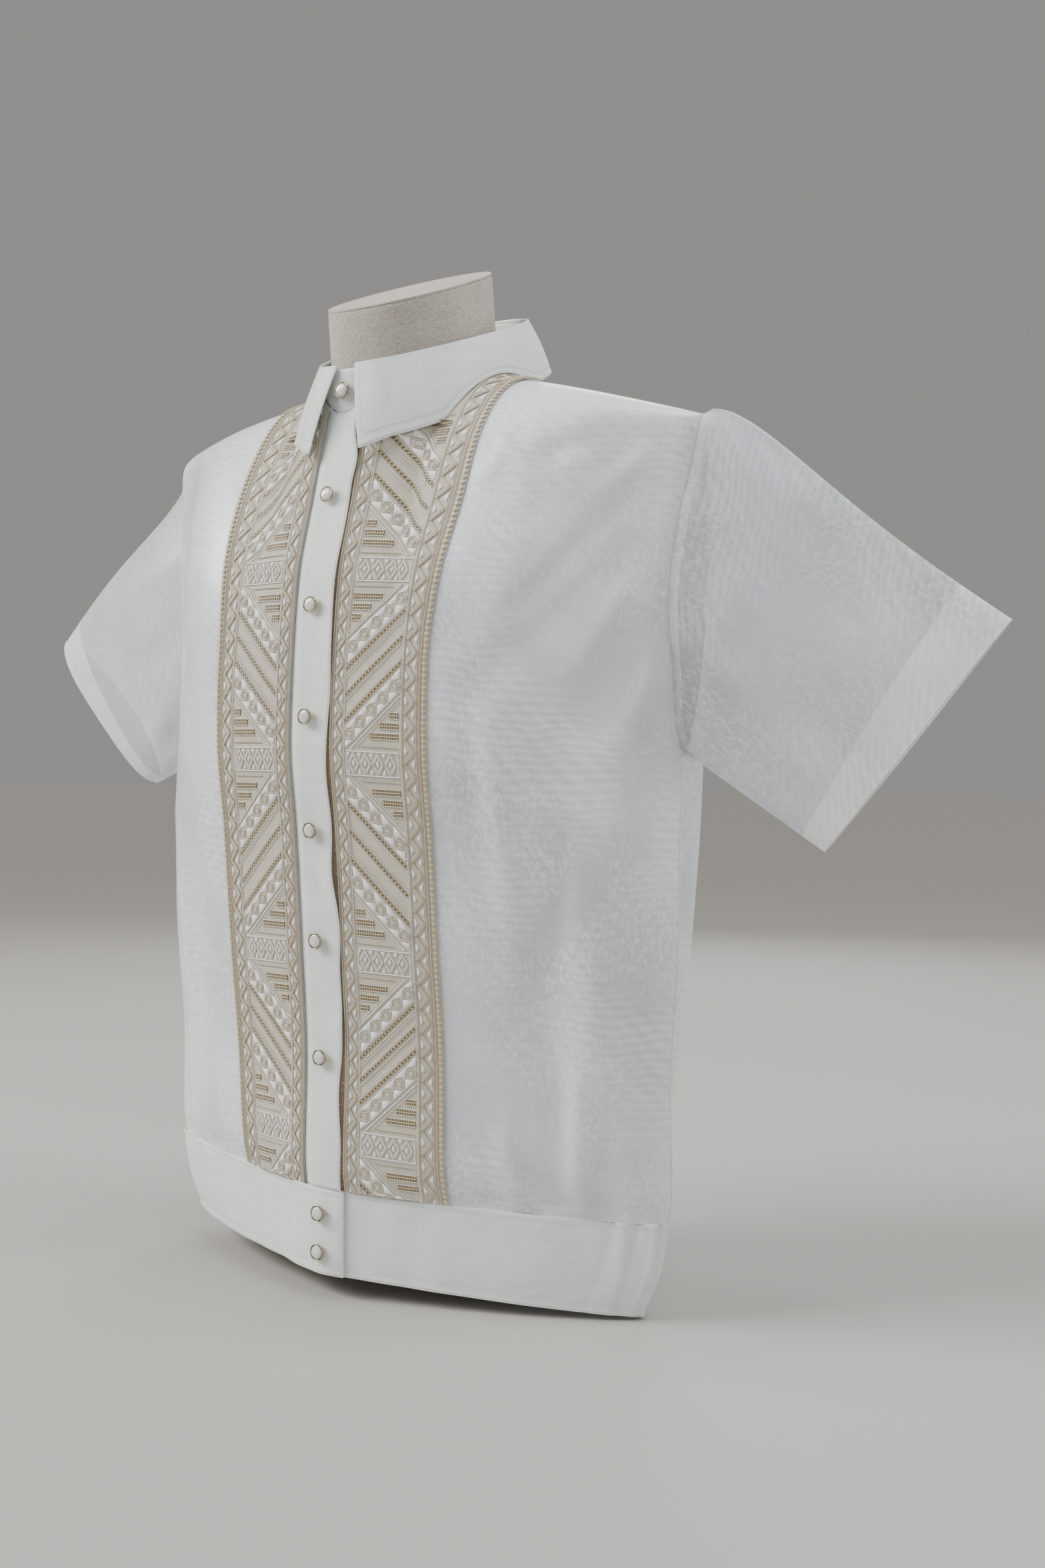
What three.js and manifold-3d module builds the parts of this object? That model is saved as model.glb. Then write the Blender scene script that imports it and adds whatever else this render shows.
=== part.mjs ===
// A short-sleeved barong tagalog worn on a limbless dress form.
// Millimetres, +Z up, front towards -Y, +X is the wearer's left.
// The origin is the centre of the form's flat base.
import * as THREE from 'three';
import { mergeVertices } from 'three/addons/utils/BufferGeometryUtils.js';
import Module from 'manifold-3d';

const wasm = await Module();
wasm.setup();

// ---------------------------------------------------------------- sizes
const LIFT = 20;            // the tables' zero, at the centre front hem, above the base
const T = 1.2;              // wall of a single layer
const T2 = 1.5;             // wall of a doubled layer
const GAP = 0.3;            // between pieces at a seam
const Z_HEM = -3;           // hem at the centre front
const Z_SEAM = 57;          // waistband's top seam
const Z_ARM = 372;          // underarm
const ARCH = { neck: 2.4, arm: 3, from: 60, to: 180 };   // how square the section over the shoulder is
const SHOULDER = { x: 246, z: 601, y: -12, crown: 1.5 };
const NECK = { x: 62, z: 648, y: 2, rise: 110 };
const RING = { x: 72, front: 98, back: 78 };   // neckline in plan
const NECK_SEAM = 1.5;      // the stand's foot stands this far inside it
const PLACKET = { from: -17.9, to: 17, out: 1.9 };
const UNDER = { from: -8, to: 17.9 };
const PANEL = { from: 18.6, out: 0.7, wall: 1 };
// Distances from the centre front of the fronts' columns, low down and at the
// neck: the embroidered panels widen towards the shoulder.
const SPREAD = [
  { low: 18.15, high: 18.15 }, { low: 34, high: 37 }, { low: 50, high: 54 },
  { low: 61, high: 66 }, { low: 70, high: 72 }, { low: 83, high: 89 }, { low: 96, high: 107 },
];
const BAND = { over: 18.5, under: -16, out: 2.0 };
const BUTTON = { r: 6, h: 4.4 };

// Sections of the body, from the hem up: half width, front and back depth,
// fullness (2 is an ellipse) and how far the side seam sits from the middle.
const SECTIONS = [
  { z: 0, half: 213, front: 112, back: 72, full: 1.30, side: -20 },
  { z: 28, half: 226, front: 112, back: 80, full: 1.30, side: -20 },
  { z: 57, half: 231, front: 112, back: 86, full: 1.32, side: -19 },
  { z: 74, half: 233, front: 113, back: 90, full: 1.40, side: -18 },
  { z: 145, half: 229, front: 111, back: 102, full: 1.65, side: -14 },
  { z: 235, half: 231, front: 117, back: 115, full: 1.90, side: -9 },
  { z: 312, half: 229, front: 124, back: 129, full: 2.05, side: -4 },
  { z: 375, half: 228, front: 131, back: 129, full: 2.20, side: 0 },
  { z: 430, half: 232, front: 130, back: 128, full: 2.30, side: 0 },
  { z: 490, half: 238, front: 128, back: 127, full: 2.30, side: 0 },
  { z: 549, half: 243, front: 119.5, back: 121, full: 2.30, side: 0 },
  { z: 610, half: 247, front: 114, back: 109, full: 2.30, side: 0 },
  { z: 690, half: 247, front: 110, back: 106, full: 2.30, side: 0 },
];
// Sections of the form under it, the same columns.
const FORM = [
  { z: -20, half: 140, front: 52, back: 50, full: 1.9, side: 0 },
  { z: -8, half: 150, front: 62, back: 54, full: 1.85, side: 0 },
  { z: 25, half: 162, front: 82, back: 60, full: 1.75, side: 0 },
  { z: 75, half: 168, front: 93, back: 68, full: 1.75, side: 0 },
  { z: 160, half: 166, front: 94, back: 80, full: 2.0, side: 0 },
  { z: 250, half: 168, front: 98, back: 96, full: 2.2, side: 0 },
  { z: 340, half: 180, front: 110, back: 108, full: 2.2, side: 0 },
  { z: 420, half: 196, front: 114, back: 110, full: 2.0, side: 0 },
  { z: 500, half: 212, front: 110, back: 106, full: 1.9, side: 0 },
  { z: 570, half: 224, front: 102, back: 96, full: 1.9, side: 0 },
  { z: 620, half: 226, front: 98, back: 88, full: 2.0, side: 0 },
  { z: 700, half: 226, front: 94, back: 80, full: 2.0, side: 0 },
];
// How far the armhole seam stands in from the side of the section.
const ARMHOLE = [
  { z: 372, front: 0, back: 0 },
  { z: 395, front: 0.004, back: 0.004 },
  { z: 428, front: 0.013, back: 0.013 },
  { z: 460, front: 0.024, back: 0.024 },
  { z: 490, front: 0.030, back: 0.032 },
  { z: 536, front: 0.024, back: 0.030 },
  { z: 560, front: 0.014, back: 0.022 },
  { z: 585, front: 0.006, back: 0.010 },
  { z: 602, front: 0, back: 0 },
];
// Hollow where the cloth sinks beside the armhole, at this share of the width.
const HOLLOW_AT = 0.86, HOLLOW_WIDE = 0.17;
const HOLLOW = [
  { z: 320, front: 0, back: 0 },
  { z: 375, front: 8, back: 4 },
  { z: 430, front: 20, back: 10 },
  { z: 490, front: 22, back: 12 },
  { z: 549, front: 18, back: 9 },
  { z: 580, front: 11, back: 5 },
  { z: 604, front: 0, back: 0 },
];
const SKEW = 0.04;          // the fronts hang a little turned to the wearer's right
// Soft folds in the body: a line in front view (x, z), half width and depth.
const FOLDS = [
  { x0: 216, z0: 520, x1: 120, z1: 395, wide: 15, deep: -4.0, back: 0 },
  { x0: 219, z0: 470, x1: 165, z1: 330, wide: 13, deep: -3.5, back: 0 },
  { x0: 150, z0: 330, x1: 176, z1: 70, wide: 26, deep: -4.5, back: 0 },
  { x0: 190, z0: 300, x1: 205, z1: 66, wide: 16, deep: 2.5, back: 0 },
  { x0: -214, z0: 500, x1: -140, z1: 400, wide: 14, deep: -3.0, back: 0 },
  { x0: -150, z0: 300, x1: -166, z1: 70, wide: 24, deep: -3.5, back: 0 },
  { x0: 205, z0: 505, x1: 110, z1: 380, wide: 18, deep: -4.0, back: 1 },
  { x0: -205, z0: 500, x1: -95, z1: 370, wide: 18, deep: -4.0, back: 1 },
  { x0: -60, z0: 330, x1: -92, z1: 68, wide: 28, deep: -5.0, back: 1 },
  { x0: 96, z0: 350, x1: 70, z1: 72, wide: 26, deep: -4.5, back: 1 },
  { x0: 12, z0: 280, x1: 4, z1: 66, wide: 22, deep: -3.5, back: 1 },
];
// Corners of each sleeve's hem, half its thickness there, and how far the
// sleeve fills out on the way (cap: up at the head; belly: front and back).
const SLEEVES = {
  left: { top: [448, 37, 455.5], low: [322, 28, 303], thick: 6, cap: 18, belly: 7, sag: 0 },
  right: { top: [-448, 37, 470], low: [-322, 28, 342], thick: 20, cap: -18, belly: 10, sag: 3 },
};
const SLEEVE_HEM = 33;
// Collar: fold line and leaf edge, front and back.
const FOLD = { x: 69.5, front: 97, back: 71, z0: 641, slope: 0.379 };
const COLLAR_SHIFT = 1;     // the collar sits a little to the wearer's left
const LEAF = { x: 84, front: 112, back: 88, full: 2.35, z0: 585, slope: 0.44, rest: 5.8 };
// Buttons: height of each, on the stand, the placket and the waistband.
const BUTTONS = [
  { z: 624.5, on: 'stand' }, { z: 548.7, on: 'placket' }, { z: 470.1, on: 'placket' },
  { z: 391.5, on: 'placket' }, { z: 312.3, on: 'placket' }, { z: 233.9, on: 'placket' },
  { z: 150.4, on: 'placket' }, { z: 39.6, on: 'band' }, { z: 12.1, on: 'band' },
];
const NECK_FORM = { r: 62, zLow: 600, yLow: -12.4, lean: -0.125, topFront: 688, topBack: 737 };

// ---------------------------------------------------------------- small maths
const clamp = (v, a, b) => Math.min(b, Math.max(a, v));
const lerp = (a, b, t) => a + (b - a) * t;
const add = (a, b, k = 1) => [a[0] + b[0] * k, a[1] + b[1] * k, a[2] + b[2] * k];
const sub = (a, b) => [a[0] - b[0], a[1] - b[1], a[2] - b[2]];
const mix = (a, b, t) => [lerp(a[0], b[0], t), lerp(a[1], b[1], t), lerp(a[2], b[2], t)];
const cross = (a, b) => [a[1] * b[2] - a[2] * b[1], a[2] * b[0] - a[0] * b[2], a[0] * b[1] - a[1] * b[0]];
const norm = (a) => Math.hypot(a[0], a[1], a[2]);
const unit = (a) => { const l = norm(a) || 1; return [a[0] / l, a[1] / l, a[2] / l]; };
const smooth = (t) => { const u = clamp(t, 0, 1); return u * u * (3 - 2 * u); };
const steps = (n, a = 0, b = 1) => Array.from({ length: n + 1 }, (_, i) => lerp(a, b, i / n));

// Monotone cubic through a table's column.
function curve(rows, key, at = 'z') {
  const x = rows.map((r) => r[at]), y = rows.map((r) => r[key]), n = x.length;
  const d = [], m = new Array(n).fill(0);
  for (let i = 0; i < n - 1; i++) d.push((y[i + 1] - y[i]) / (x[i + 1] - x[i]));
  for (let i = 1; i < n - 1; i++) m[i] = d[i - 1] * d[i] <= 0 ? 0 : 2 * d[i - 1] * d[i] / (d[i - 1] + d[i]);
  m[0] = d[0]; m[n - 1] = d[n - 2];
  return (v) => {
    if (v <= x[0]) return y[0];
    if (v >= x[n - 1]) return y[n - 1];
    let i = 0; while (v > x[i + 1]) i++;
    const h = x[i + 1] - x[i], t = (v - x[i]) / h, t2 = t * t, t3 = t2 * t;
    return (2 * t3 - 3 * t2 + 1) * y[i] + (t3 - 2 * t2 + t) * h * m[i]
      + (3 * t2 - 2 * t3) * y[i + 1] + (t3 - t2) * h * m[i + 1];
  };
}

// ---------------------------------------------------------------- body surface
const archAt = (x) => lerp(ARCH.neck, ARCH.arm, smooth((Math.abs(x) - ARCH.from) / (ARCH.to - ARCH.from)));
function makeBody(rows, drop = 0, folds = [], neck = NECK) {
  const c = {};
  for (const key of ['half', 'front', 'back', 'full', 'side']) c[key] = curve(rows, key);
  const ridgeZ = (x) => {
    const ax = Math.abs(x), k = (SHOULDER.x - ax) / (SHOULDER.x - NECK.x);
    return (ax >= neck.x ? SHOULDER.z + k * (NECK.z - SHOULDER.z) + SHOULDER.crown * Math.sin(Math.PI * clamp(k, 0, 1))
      : neck.z + neck.rise * (1 - (ax / neck.x) ** 2)) - drop;
  };
  const ridgeY = (x) => lerp(NECK.y, SHOULDER.y, clamp((Math.abs(x) - NECK.x) / (SHOULDER.x - NECK.x), 0, 1));
  const lean = (x, z) => {
    const t = -0.05 + 0.02 * clamp(z / Z_SEAM, 0, 1) + 0.02 * clamp((z - Z_SEAM) / 250, 0, 1);
    return t * x - lerp(3.7, 0, clamp(z / 110, 0, 1)) * (x / 213) ** 2;
  };
  // Point of the section at share xi of the half width: level z, or share q
  // of the way from the underarm to the shoulder line.
  const at = (back, xi, z, q = null, foldIt = true) => {
    let x = xi * c.half(z);
    if (q !== null) {
      for (let i = 0; i < 4; i++) {
        z = Z_ARM + (ridgeZ(x) - Z_ARM) * q;
        x = xi * c.half(z);
      }
    }
    const n = c.full(z);
    const round = Math.pow(clamp(1 - Math.pow(Math.abs(xi), n), 0, 1), 1 / n);
    const depth = back ? c.back(z) : -c.front(z);
    const qq = q === null ? 0 : clamp(q, 0, 1);
    const e = archAt(x), arch = Math.pow(clamp(1 - Math.pow(qq, e), 0, 1), 1 / e);
    let y = depth * round * arch + c.side(z) * xi * xi + ridgeY(x) * qq;
    if (folds.length) {
      const off = (Math.abs(xi) - HOLLOW_AT) / HOLLOW_WIDE;
      y += (back ? -hollowBack(z) : hollowFront(z)) * Math.exp(-off * off) * smooth(round / 0.25);
      y += SKEW * x * (1 - xi * xi) * smooth((z - Z_SEAM) / 150) * (1 - smooth((z - 520) / 80));
    }
    if (foldIt) {
      for (const f of folds) {
        if (Boolean(f.back) !== back) continue;
        const dx = f.x1 - f.x0, dz = f.z1 - f.z0, l2 = dx * dx + dz * dz;
        const s = ((x - f.x0) * dx + (z - f.z0) * dz) / l2;
        if (s < 0 || s > 1) continue;
        const off = ((x - f.x0) * dz - (z - f.z0) * dx) / Math.sqrt(l2) / f.wide;
        y += (back ? 1 : -1) * f.deep * Math.exp(-off * off) * Math.sin(Math.PI * Math.pow(s, 0.8)) * round;
      }
    }
    return [x, y, z + lean(x, z)];
  };
  const angleOf = (xi, z) => Math.asin(Math.pow(clamp(xi, 0, 1), c.full(z) / 2));
  const xiOf = (t, z) => Math.pow(Math.sin(t), 2 / c.full(z));
  // Share q where the surface over plan point (x, y) lies.
  const shareAt = (back, x, y) => {
    let lo = 0, hi = 1;
    for (let i = 0; i < 40; i++) {
      const q = (lo + hi) / 2;
      let z = Z_ARM + (ridgeZ(x) - Z_ARM) * q;
      const p = at(back, Math.abs(x) / c.half(z) * Math.sign(x || 1), z, q, false);
      const inside = back ? p[1] > y : p[1] < y;
      if (inside) lo = q; else hi = q;
    }
    return (lo + hi) / 2;
  };
  return { c, ridgeZ, ridgeY, at, angleOf, xiOf, shareAt };
}
const hollowFront = curve(HOLLOW, 'front'), hollowBack = curve(HOLLOW, 'back');
const body = makeBody(SECTIONS, 0, FOLDS);
const armFront = curve(ARMHOLE, 'front'), armBack = curve(ARMHOLE, 'back');

// Even steps along the arch over the shoulder, as shares of a quarter turn.
const ARCH_ROWS = (() => {
  const pts = [], out = [];
  let len = 0, last = null;
  for (let i = 0; i <= 400; i++) {
    const a = (i / 400) * Math.PI / 2;
    const p = [Math.pow(Math.cos(a), 2 / ARCH.arm) * 110, Math.pow(Math.sin(a), 2 / ARCH.arm) * 232];
    if (last) len += Math.hypot(p[0] - last[0], p[1] - last[1]);
    pts.push([len, a]); last = p;
  }
  return (w) => {
    const goal = clamp(w, 0, 1) * len;
    let i = 1; while (i < pts.length - 1 && pts[i][0] < goal) i++;
    const a = pts[i - 1], b = pts[i];
    return lerp(a[1], b[1], clamp((goal - a[0]) / (b[0] - a[0]), 0, 1));
  };
})();
const shareOfRow = (w) => Math.pow(Math.sin(ARCH_ROWS(w)), 2 / ARCH.arm);
const rowOfShare = (q) => {
  let lo = 0, hi = 1;
  for (let i = 0; i < 40; i++) { const m = (lo + hi) / 2; if (shareOfRow(m) < q) lo = m; else hi = m; }
  return (lo + hi) / 2;
};

// Neckline in plan.
const neckY = (back, x) => {
  const u = clamp(Math.abs(x - 0) / RING.x, 0, 1);
  return NECK.y + (back ? RING.back - NECK.y : -RING.front - NECK.y) * Math.sqrt(1 - u * u);
};
// Last row of a column: the neckline, or the shoulder line.
const topRow = (back, x) => {
  if (Math.abs(x) >= RING.x) return 1;
  return Math.min(1, rowOfShare(body.shareAt(back, x, neckY(back, x))));
};

const NL = 10, NU = 10;     // rows below and above the underarm
// Point of the body with the outward normal of the surface there.
function onBody(back, xi, z, q = null) {
  const p = body.at(back, xi, z, q), side = Math.sign(xi || 1), dx = 0.004;
  const a = body.at(back, side * Math.min(Math.abs(xi), 0.996) - dx, z, q), b = body.at(back, side * Math.min(Math.abs(xi), 0.996) + dx, z, q);
  const c = q === null ? body.at(back, xi, z - 1, null) : body.at(back, xi, z, Math.max(0, Math.min(q, 0.996) - 0.004));
  const d = q === null ? body.at(back, xi, z + 1, null) : body.at(back, xi, z, Math.min(q, 0.996) + 0.004);
  let n = unit(cross(sub(b, a), sub(d, c)));
  if ((back ? 1 : -1) * n[1] < 0) n = [-n[0], -n[1], -n[2]];
  p.n = n;
  return p;
}
// One column of the body from the waistband seam up. place(z, q) gives xi.
function column(back, place, top = 1) {
  const out = [];
  for (let r = 0; r <= NL + NU; r++) {
    if (r <= NL) {
      const z = lerp(Z_SEAM, Z_ARM, r / NL);
      out.push(onBody(back, place(z, null), z));
    } else {
      const q = shareOfRow((r - NL) / NU * top);
      let z = Z_ARM + (SHOULDER.z - Z_ARM) * q, xi = place(z, q);
      for (let i = 0; i < 3; i++) { const x = xi * body.c.half(z); z = Z_ARM + (body.ridgeZ(x) - Z_ARM) * q; xi = place(z, q); }
      out.push(onBody(back, xi, z, q));
    }
  }
  return out;
}
const fixed = (x) => (z) => x / body.c.half(z);
const spreadX = (s, z) => lerp(s.low, s.high, smooth((z - 430) / 140));
const spread = (s, sign) => (z) => sign * spreadX(s, z) / body.c.half(z);
const edgeShare = (back, z) => z <= Z_ARM ? 1 : 1 - (back ? armBack(z) : armFront(z));
// Columns from x to the side, at shares w of the turn between them.
const toSide = (back, sign, x, w) => (z) => {
  const t0 = body.angleOf((typeof x === 'function' ? x(z) : x) / body.c.half(z), z);
  const t1 = body.angleOf(edgeShare(back, z), z);
  return sign * body.xiOf(lerp(t0, t1, w), z);
};

const SIDE_W = [0.15, 0.31, 0.47, 0.63, 0.78, 0.9, 1];
const frontGrid = (sign) => {
  const cols = SPREAD.map((s) => column(false, spread(s, sign), topRow(false, s.high)));
  for (const w of SIDE_W) cols.push(column(false, toSide(false, sign, (z) => spreadX(SPREAD[6], z), w)));
  return cols;
};
const backGrid = () => {
  const xs = [0, 24, 42, 54, 62, 68, RING.x], cols = [];
  for (const w of [...SIDE_W].reverse()) cols.push(column(true, toSide(true, -1, RING.x, w)));
  for (const x of [...xs].reverse()) cols.push(column(true, fixed(-x), topRow(true, x)));
  for (const x of xs.slice(1)) cols.push(column(true, fixed(x), topRow(true, x)));
  for (const w of SIDE_W) cols.push(column(true, toSide(true, 1, RING.x, w)));
  return cols;
};

// ---------------------------------------------------------------- walls
function normals(g, wrap = false, flip = 1) {
  const n = g.length, m = g[0].length;
  return g.map((col, i) => col.map((_, j) => {
    const a = g[wrap ? (i + n - 1) % n : Math.max(0, i - 1)], b = g[wrap ? (i + 1) % n : Math.min(n - 1, i + 1)];
    const du = sub(b[j], a[j]), dv = sub(col[Math.min(m - 1, j + 1)], col[Math.max(0, j - 1)]);
    const c = unit(cross(du, dv));
    return [c[0] * flip, c[1] * flip, c[2] * flip];
  }));
}
const moved = (g, nn, k) => g.map((col, i) => col.map((p, j) => add(p, nn[i][j], typeof k === 'function' ? k(i, j) : k)));
// Draw the edges of two matching grids in by half a seam gap.
function trimmed(out, inn, edges, by = GAP / 2, shoulder = 0) {
  const n = out.length, m = out[0].length;
  const shift = out.map((col) => col.map(() => [0, 0, 0]));
  const pull = (i, j, i2, j2) => { shift[i][j] = add(shift[i][j], unit(sub(out[i2][j2], out[i][j])), by); };
  for (let j = 0; j < m; j++) {
    if (edges.includes('start')) pull(0, j, 1, j);
    if (edges.includes('end')) pull(n - 1, j, n - 2, j);
  }
  for (let i = 0; i < n; i++) {
    if (edges.includes('low')) pull(i, 0, i, 1);
    if (edges.includes('top')) {
      // along the shoulder the two pieces part in y
      if (shoulder && Math.abs(out[i][m - 1][0]) > RING.x - 0.5) shift[i][m - 1] = add(shift[i][m - 1], [0, shoulder, 0], by);
      else pull(i, m - 1, i, m - 2);
    }
  }
  const f = (g) => g.map((col, i) => col.map((p, j) => add(p, shift[i][j])));
  return [f(out), f(inn)];
}
// Closed solid between an outer and an inner grid.
function solid(out, inn, wrap = false) {
  const n = out.length, m = out[0].length, pos = [], idx = [];
  const id = (layer, i, j) => (layer * n + (i % n)) * m + j;
  for (const g of [out, inn]) for (const col of g) for (const p of col) pos.push(p[0], p[1], p[2] + LIFT);
  const quad = (a, b, c, d) => idx.push(a, b, c, a, c, d);
  const last = wrap ? n : n - 1;
  for (let i = 0; i < last; i++) {
    for (let j = 0; j < m - 1; j++) {
      quad(id(0, i, j), id(0, i + 1, j), id(0, i + 1, j + 1), id(0, i, j + 1));
      quad(id(1, i, j), id(1, i, j + 1), id(1, i + 1, j + 1), id(1, i + 1, j));
    }
    quad(id(0, i, 0), id(1, i, 0), id(1, i + 1, 0), id(0, i + 1, 0));
    quad(id(0, i, m - 1), id(0, i + 1, m - 1), id(1, i + 1, m - 1), id(1, i, m - 1));
  }
  if (!wrap) {
    for (let j = 0; j < m - 1; j++) {
      quad(id(0, 0, j), id(0, 0, j + 1), id(1, 0, j + 1), id(1, 0, j));
      quad(id(0, n - 1, j), id(1, n - 1, j), id(1, n - 1, j + 1), id(0, n - 1, j + 1));
    }
  }
  return facing(pos, idx);
}
// Geometry whose faces point out, whichever way the grid ran.
function facing(pos, idx) {
  let vol = 0;
  const P = (k) => [pos[3 * k], pos[3 * k + 1], pos[3 * k + 2]];
  for (let k = 0; k < idx.length; k += 3) {
    const a = P(idx[k]), b = P(idx[k + 1]), c = P(idx[k + 2]);
    vol += (a[0] * (b[1] * c[2] - b[2] * c[1]) + a[1] * (b[2] * c[0] - b[0] * c[2]) + a[2] * (b[0] * c[1] - b[1] * c[0])) / 6;
  }
  if (vol < 0) for (let k = 0; k < idx.length; k += 3) [idx[k + 1], idx[k + 2]] = [idx[k + 2], idx[k + 1]];
  const g = new THREE.BufferGeometry();
  g.setAttribute('position', new THREE.Float32BufferAttribute(pos, 3));
  g.setIndex(idx);
  g.computeVertexNormals();
  return g;
}
// Outward side of a body grid: away from the middle axis.
function outward(g, wrap = false) {
  const nn = normals(g, wrap);
  let s = 0;
  g.forEach((col, i) => col.forEach((p, j) => { s += nn[i][j][0] * p[0] * 0.3 + nn[i][j][1] * p[1]; }));
  return s < 0 ? nn.map((c) => c.map((v) => [-v[0], -v[1], -v[2]])) : nn;
}

// ---------------------------------------------------------------- fronts, back, sleeves
const grids = { right: frontGrid(-1), left: frontGrid(1), back: backGrid() };
const sideNormals = (g) => {
  // the side column, where the section turns a corner, goes by its neighbours
  const nn = outward(g);
  return g.map((col, i) => col.map((p, j) => (Math.abs(p[0]) > 120 ? nn[i][j] : p.n)));
};
const norms = { right: sideNormals(grids.right), left: sideNormals(grids.left), back: sideNormals(grids.back) };

// The two walls of a seam are cut on one mitre: side seams, then shoulders.
for (const [side, iB] of [['right', 0], ['left', grids.back.length - 1]]) {
  const iF = grids[side].length - 1;
  for (let j = 0; j <= NL; j++) norms[side][iF][j] = norms.back[iB][j] = unit(add(norms[side][iF][j], norms.back[iB][j]));
}
for (const key of ['right', 'left', 'back']) grids[key].forEach((col, i) => {
  const x = col[NL + NU][0];
  if (Math.abs(x) > RING.x - 0.5) norms[key][i][NL + NU] = unit([-(body.ridgeZ(x + 1) - body.ridgeZ(x - 1)) / 2, 0, 1]);
});

function sleeve(side) {
  const spec = SLEEVES[side], front = grids[side], fn = norms[side];
  const iF = front.length - 1, iB = side === 'left' ? grids.back.length - 1 : 0;
  const loop = [];
  for (let j = 0; j <= NU; j++) loop.push({ p: front[iF][NL + j], n: fn[iF][NL + j], at: [['f', iF, NL + j]], w: j / NU, back: 0 });
  for (let j = NU - 1; j >= 1; j--) loop.push({ p: grids.back[iB][NL + j], n: norms.back[iB][NL + j], at: [['b', iB, NL + j]], w: j / NU, back: 1 });
  loop[0].at.push(['b', iB, NL]);
  loop[NU].at.push(['b', iB, NL + NU]);
  loop[0].n = unit(add(loop[0].n, norms.back[iB][NL]));
  loop[NU].n = unit(add(loop[NU].n, norms.back[iB][NL + NU]));
  const top = spec.top, low = spec.low;
  const along = unit(sub(top, low));
  const shoulder = front[iF][NL + NU], pit = front[iF][NL];
  const axis = unit(sub(mix(top, low, 0.5), mix(shoulder, pit, 0.5)));
  let thick = unit(cross(axis, along));
  if (thick[1] > 0) thick = [-thick[0], -thick[1], -thick[2]];       // towards the front
  const ridge = unit(sub(top, shoulder));
  const head = unit([-ridge[2] * ridge[0], -ridge[2] * ridge[1], 1 - ridge[2] * ridge[2]]);
  // share of the height of each point of the loop
  const S = loop.map((l) => clamp((l.p[2] - pit[2]) / (shoulder[2] - pit[2]), 0, 1));
  const hem = loop.map((l, k) => {
    const turn = Math.acos(clamp(1 - 2 * S[k], -1, 1));            // 0 low, pi top
    const across = Math.sin(turn) * (l.back ? -1 : 1);
    return add(mix(low, top, (1 - Math.cos(turn)) / 2), thick, spec.thick * across);
  });
  const far = norm(sub(mix(top, low, 0.5), mix(shoulder, pit, 0.5)));
  const list = [0, 0.05, 0.12, 0.21, 0.32, 0.44, 0.56, 0.68, 0.79, 1 - SLEEVE_HEM / far, 1];
  const grid = loop.map((l, k) => list.map((s) => {
    const p = mix(l.p, hem[k], s);
    const up = Math.pow(S[k], 3), across = Math.sin(Math.acos(clamp(1 - 2 * S[k], -1, 1))) * (l.back ? -1 : 1);
    const headed = spec.cap * up * Math.sin(Math.PI * Math.sqrt(s)) * Math.pow(1 - s, 1.5);
    const sag = -spec.sag * Math.pow(1 - S[k], 3) * Math.sin(Math.PI * Math.pow(s, 0.8));
    const belly = spec.belly * across * Math.sin(Math.PI * Math.pow(s, 0.9));
    return add(add(add(p, [0, 0, 1], sag), head, headed), thick, belly);
  }));
  const nn = normals(grid, true);
  let s = 0;
  grid.forEach((col, i) => { s += nn[i][5][1] * (loop[i].back ? 1 : -1); });
  const sn = s < 0 ? nn.map((c) => c.map((v) => [-v[0], -v[1], -v[2]])) : nn;
  // the two walls meet at the armhole on one mitre
  loop.forEach((l, k) => {
    let m = unit(add(sn[k][0], l.n));
    if (k === NU) m = unit([m[0], 0, m[2]]);
    sn[k][0] = m;
    for (const [which, i, j] of l.at) (which === 'f' ? fn : norms.back)[i][j] = m;
  });
  const wall = (i, j) => -(j >= list.length - 2 ? T + 0.6 : T);
  const out = grid, inn = moved(grid, sn, wall);
  return trimmed(out, inn, ['low'], 0.5);
}
const sleeves = { left: sleeve('left'), right: sleeve('right') };

// Front (-1) and back (1) keep to their own side of the shoulder line.
const apart = (g, way) => g.map((col) => col.map((p, j) => {
  const line = body.ridgeY(p[0]) + way * 0.2;
  return j < NL + NU - 3 || way * (p[1] - line) > 0 ? p : [p[0], line, p[2]];
}));
const shell = (g, nn, edges, way) => trimmed(g, moved(g, nn, -T), edges, 0.25, way).map((v) => apart(v, way));
const group = new THREE.Group();
const look = (color, roughness, metalness = 0, opacity = 1) =>
  new THREE.MeshStandardMaterial({ color, roughness, metalness, opacity, transparent: opacity < 1, side: THREE.DoubleSide });
const ORGANZA = look(0xdfe5e8, 0.45, 0, 0.85), IVORY = look(0xeceadf, 0.5), LACE = look(0xc9bda6, 0.7);
const METAL = look(0xd8cdb4, 0.3, 0.9), PEARL = look(0xeeeae2, 0.2), LINEN = look(0xb9b0a2, 0.9);
const put = (name, geometry, material) => {
  const m = new THREE.Mesh(geometry, material);
  m.name = name;
  group.add(m);
};

put('front_right', solid(...shell(grids.right, norms.right, ['end', 'top', 'low', 'start'], -1)), ORGANZA);
put('front_left', solid(...shell(grids.left, norms.left, ['end', 'top', 'low', 'start'], -1)), ORGANZA);
put('back', solid(...shell(grids.back, norms.back, ['start', 'end', 'top', 'low'], 1)), ORGANZA);
put('sleeve_right', solid(...sleeves.right, true), ORGANZA);
put('sleeve_left', solid(...sleeves.left, true), ORGANZA);

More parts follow.
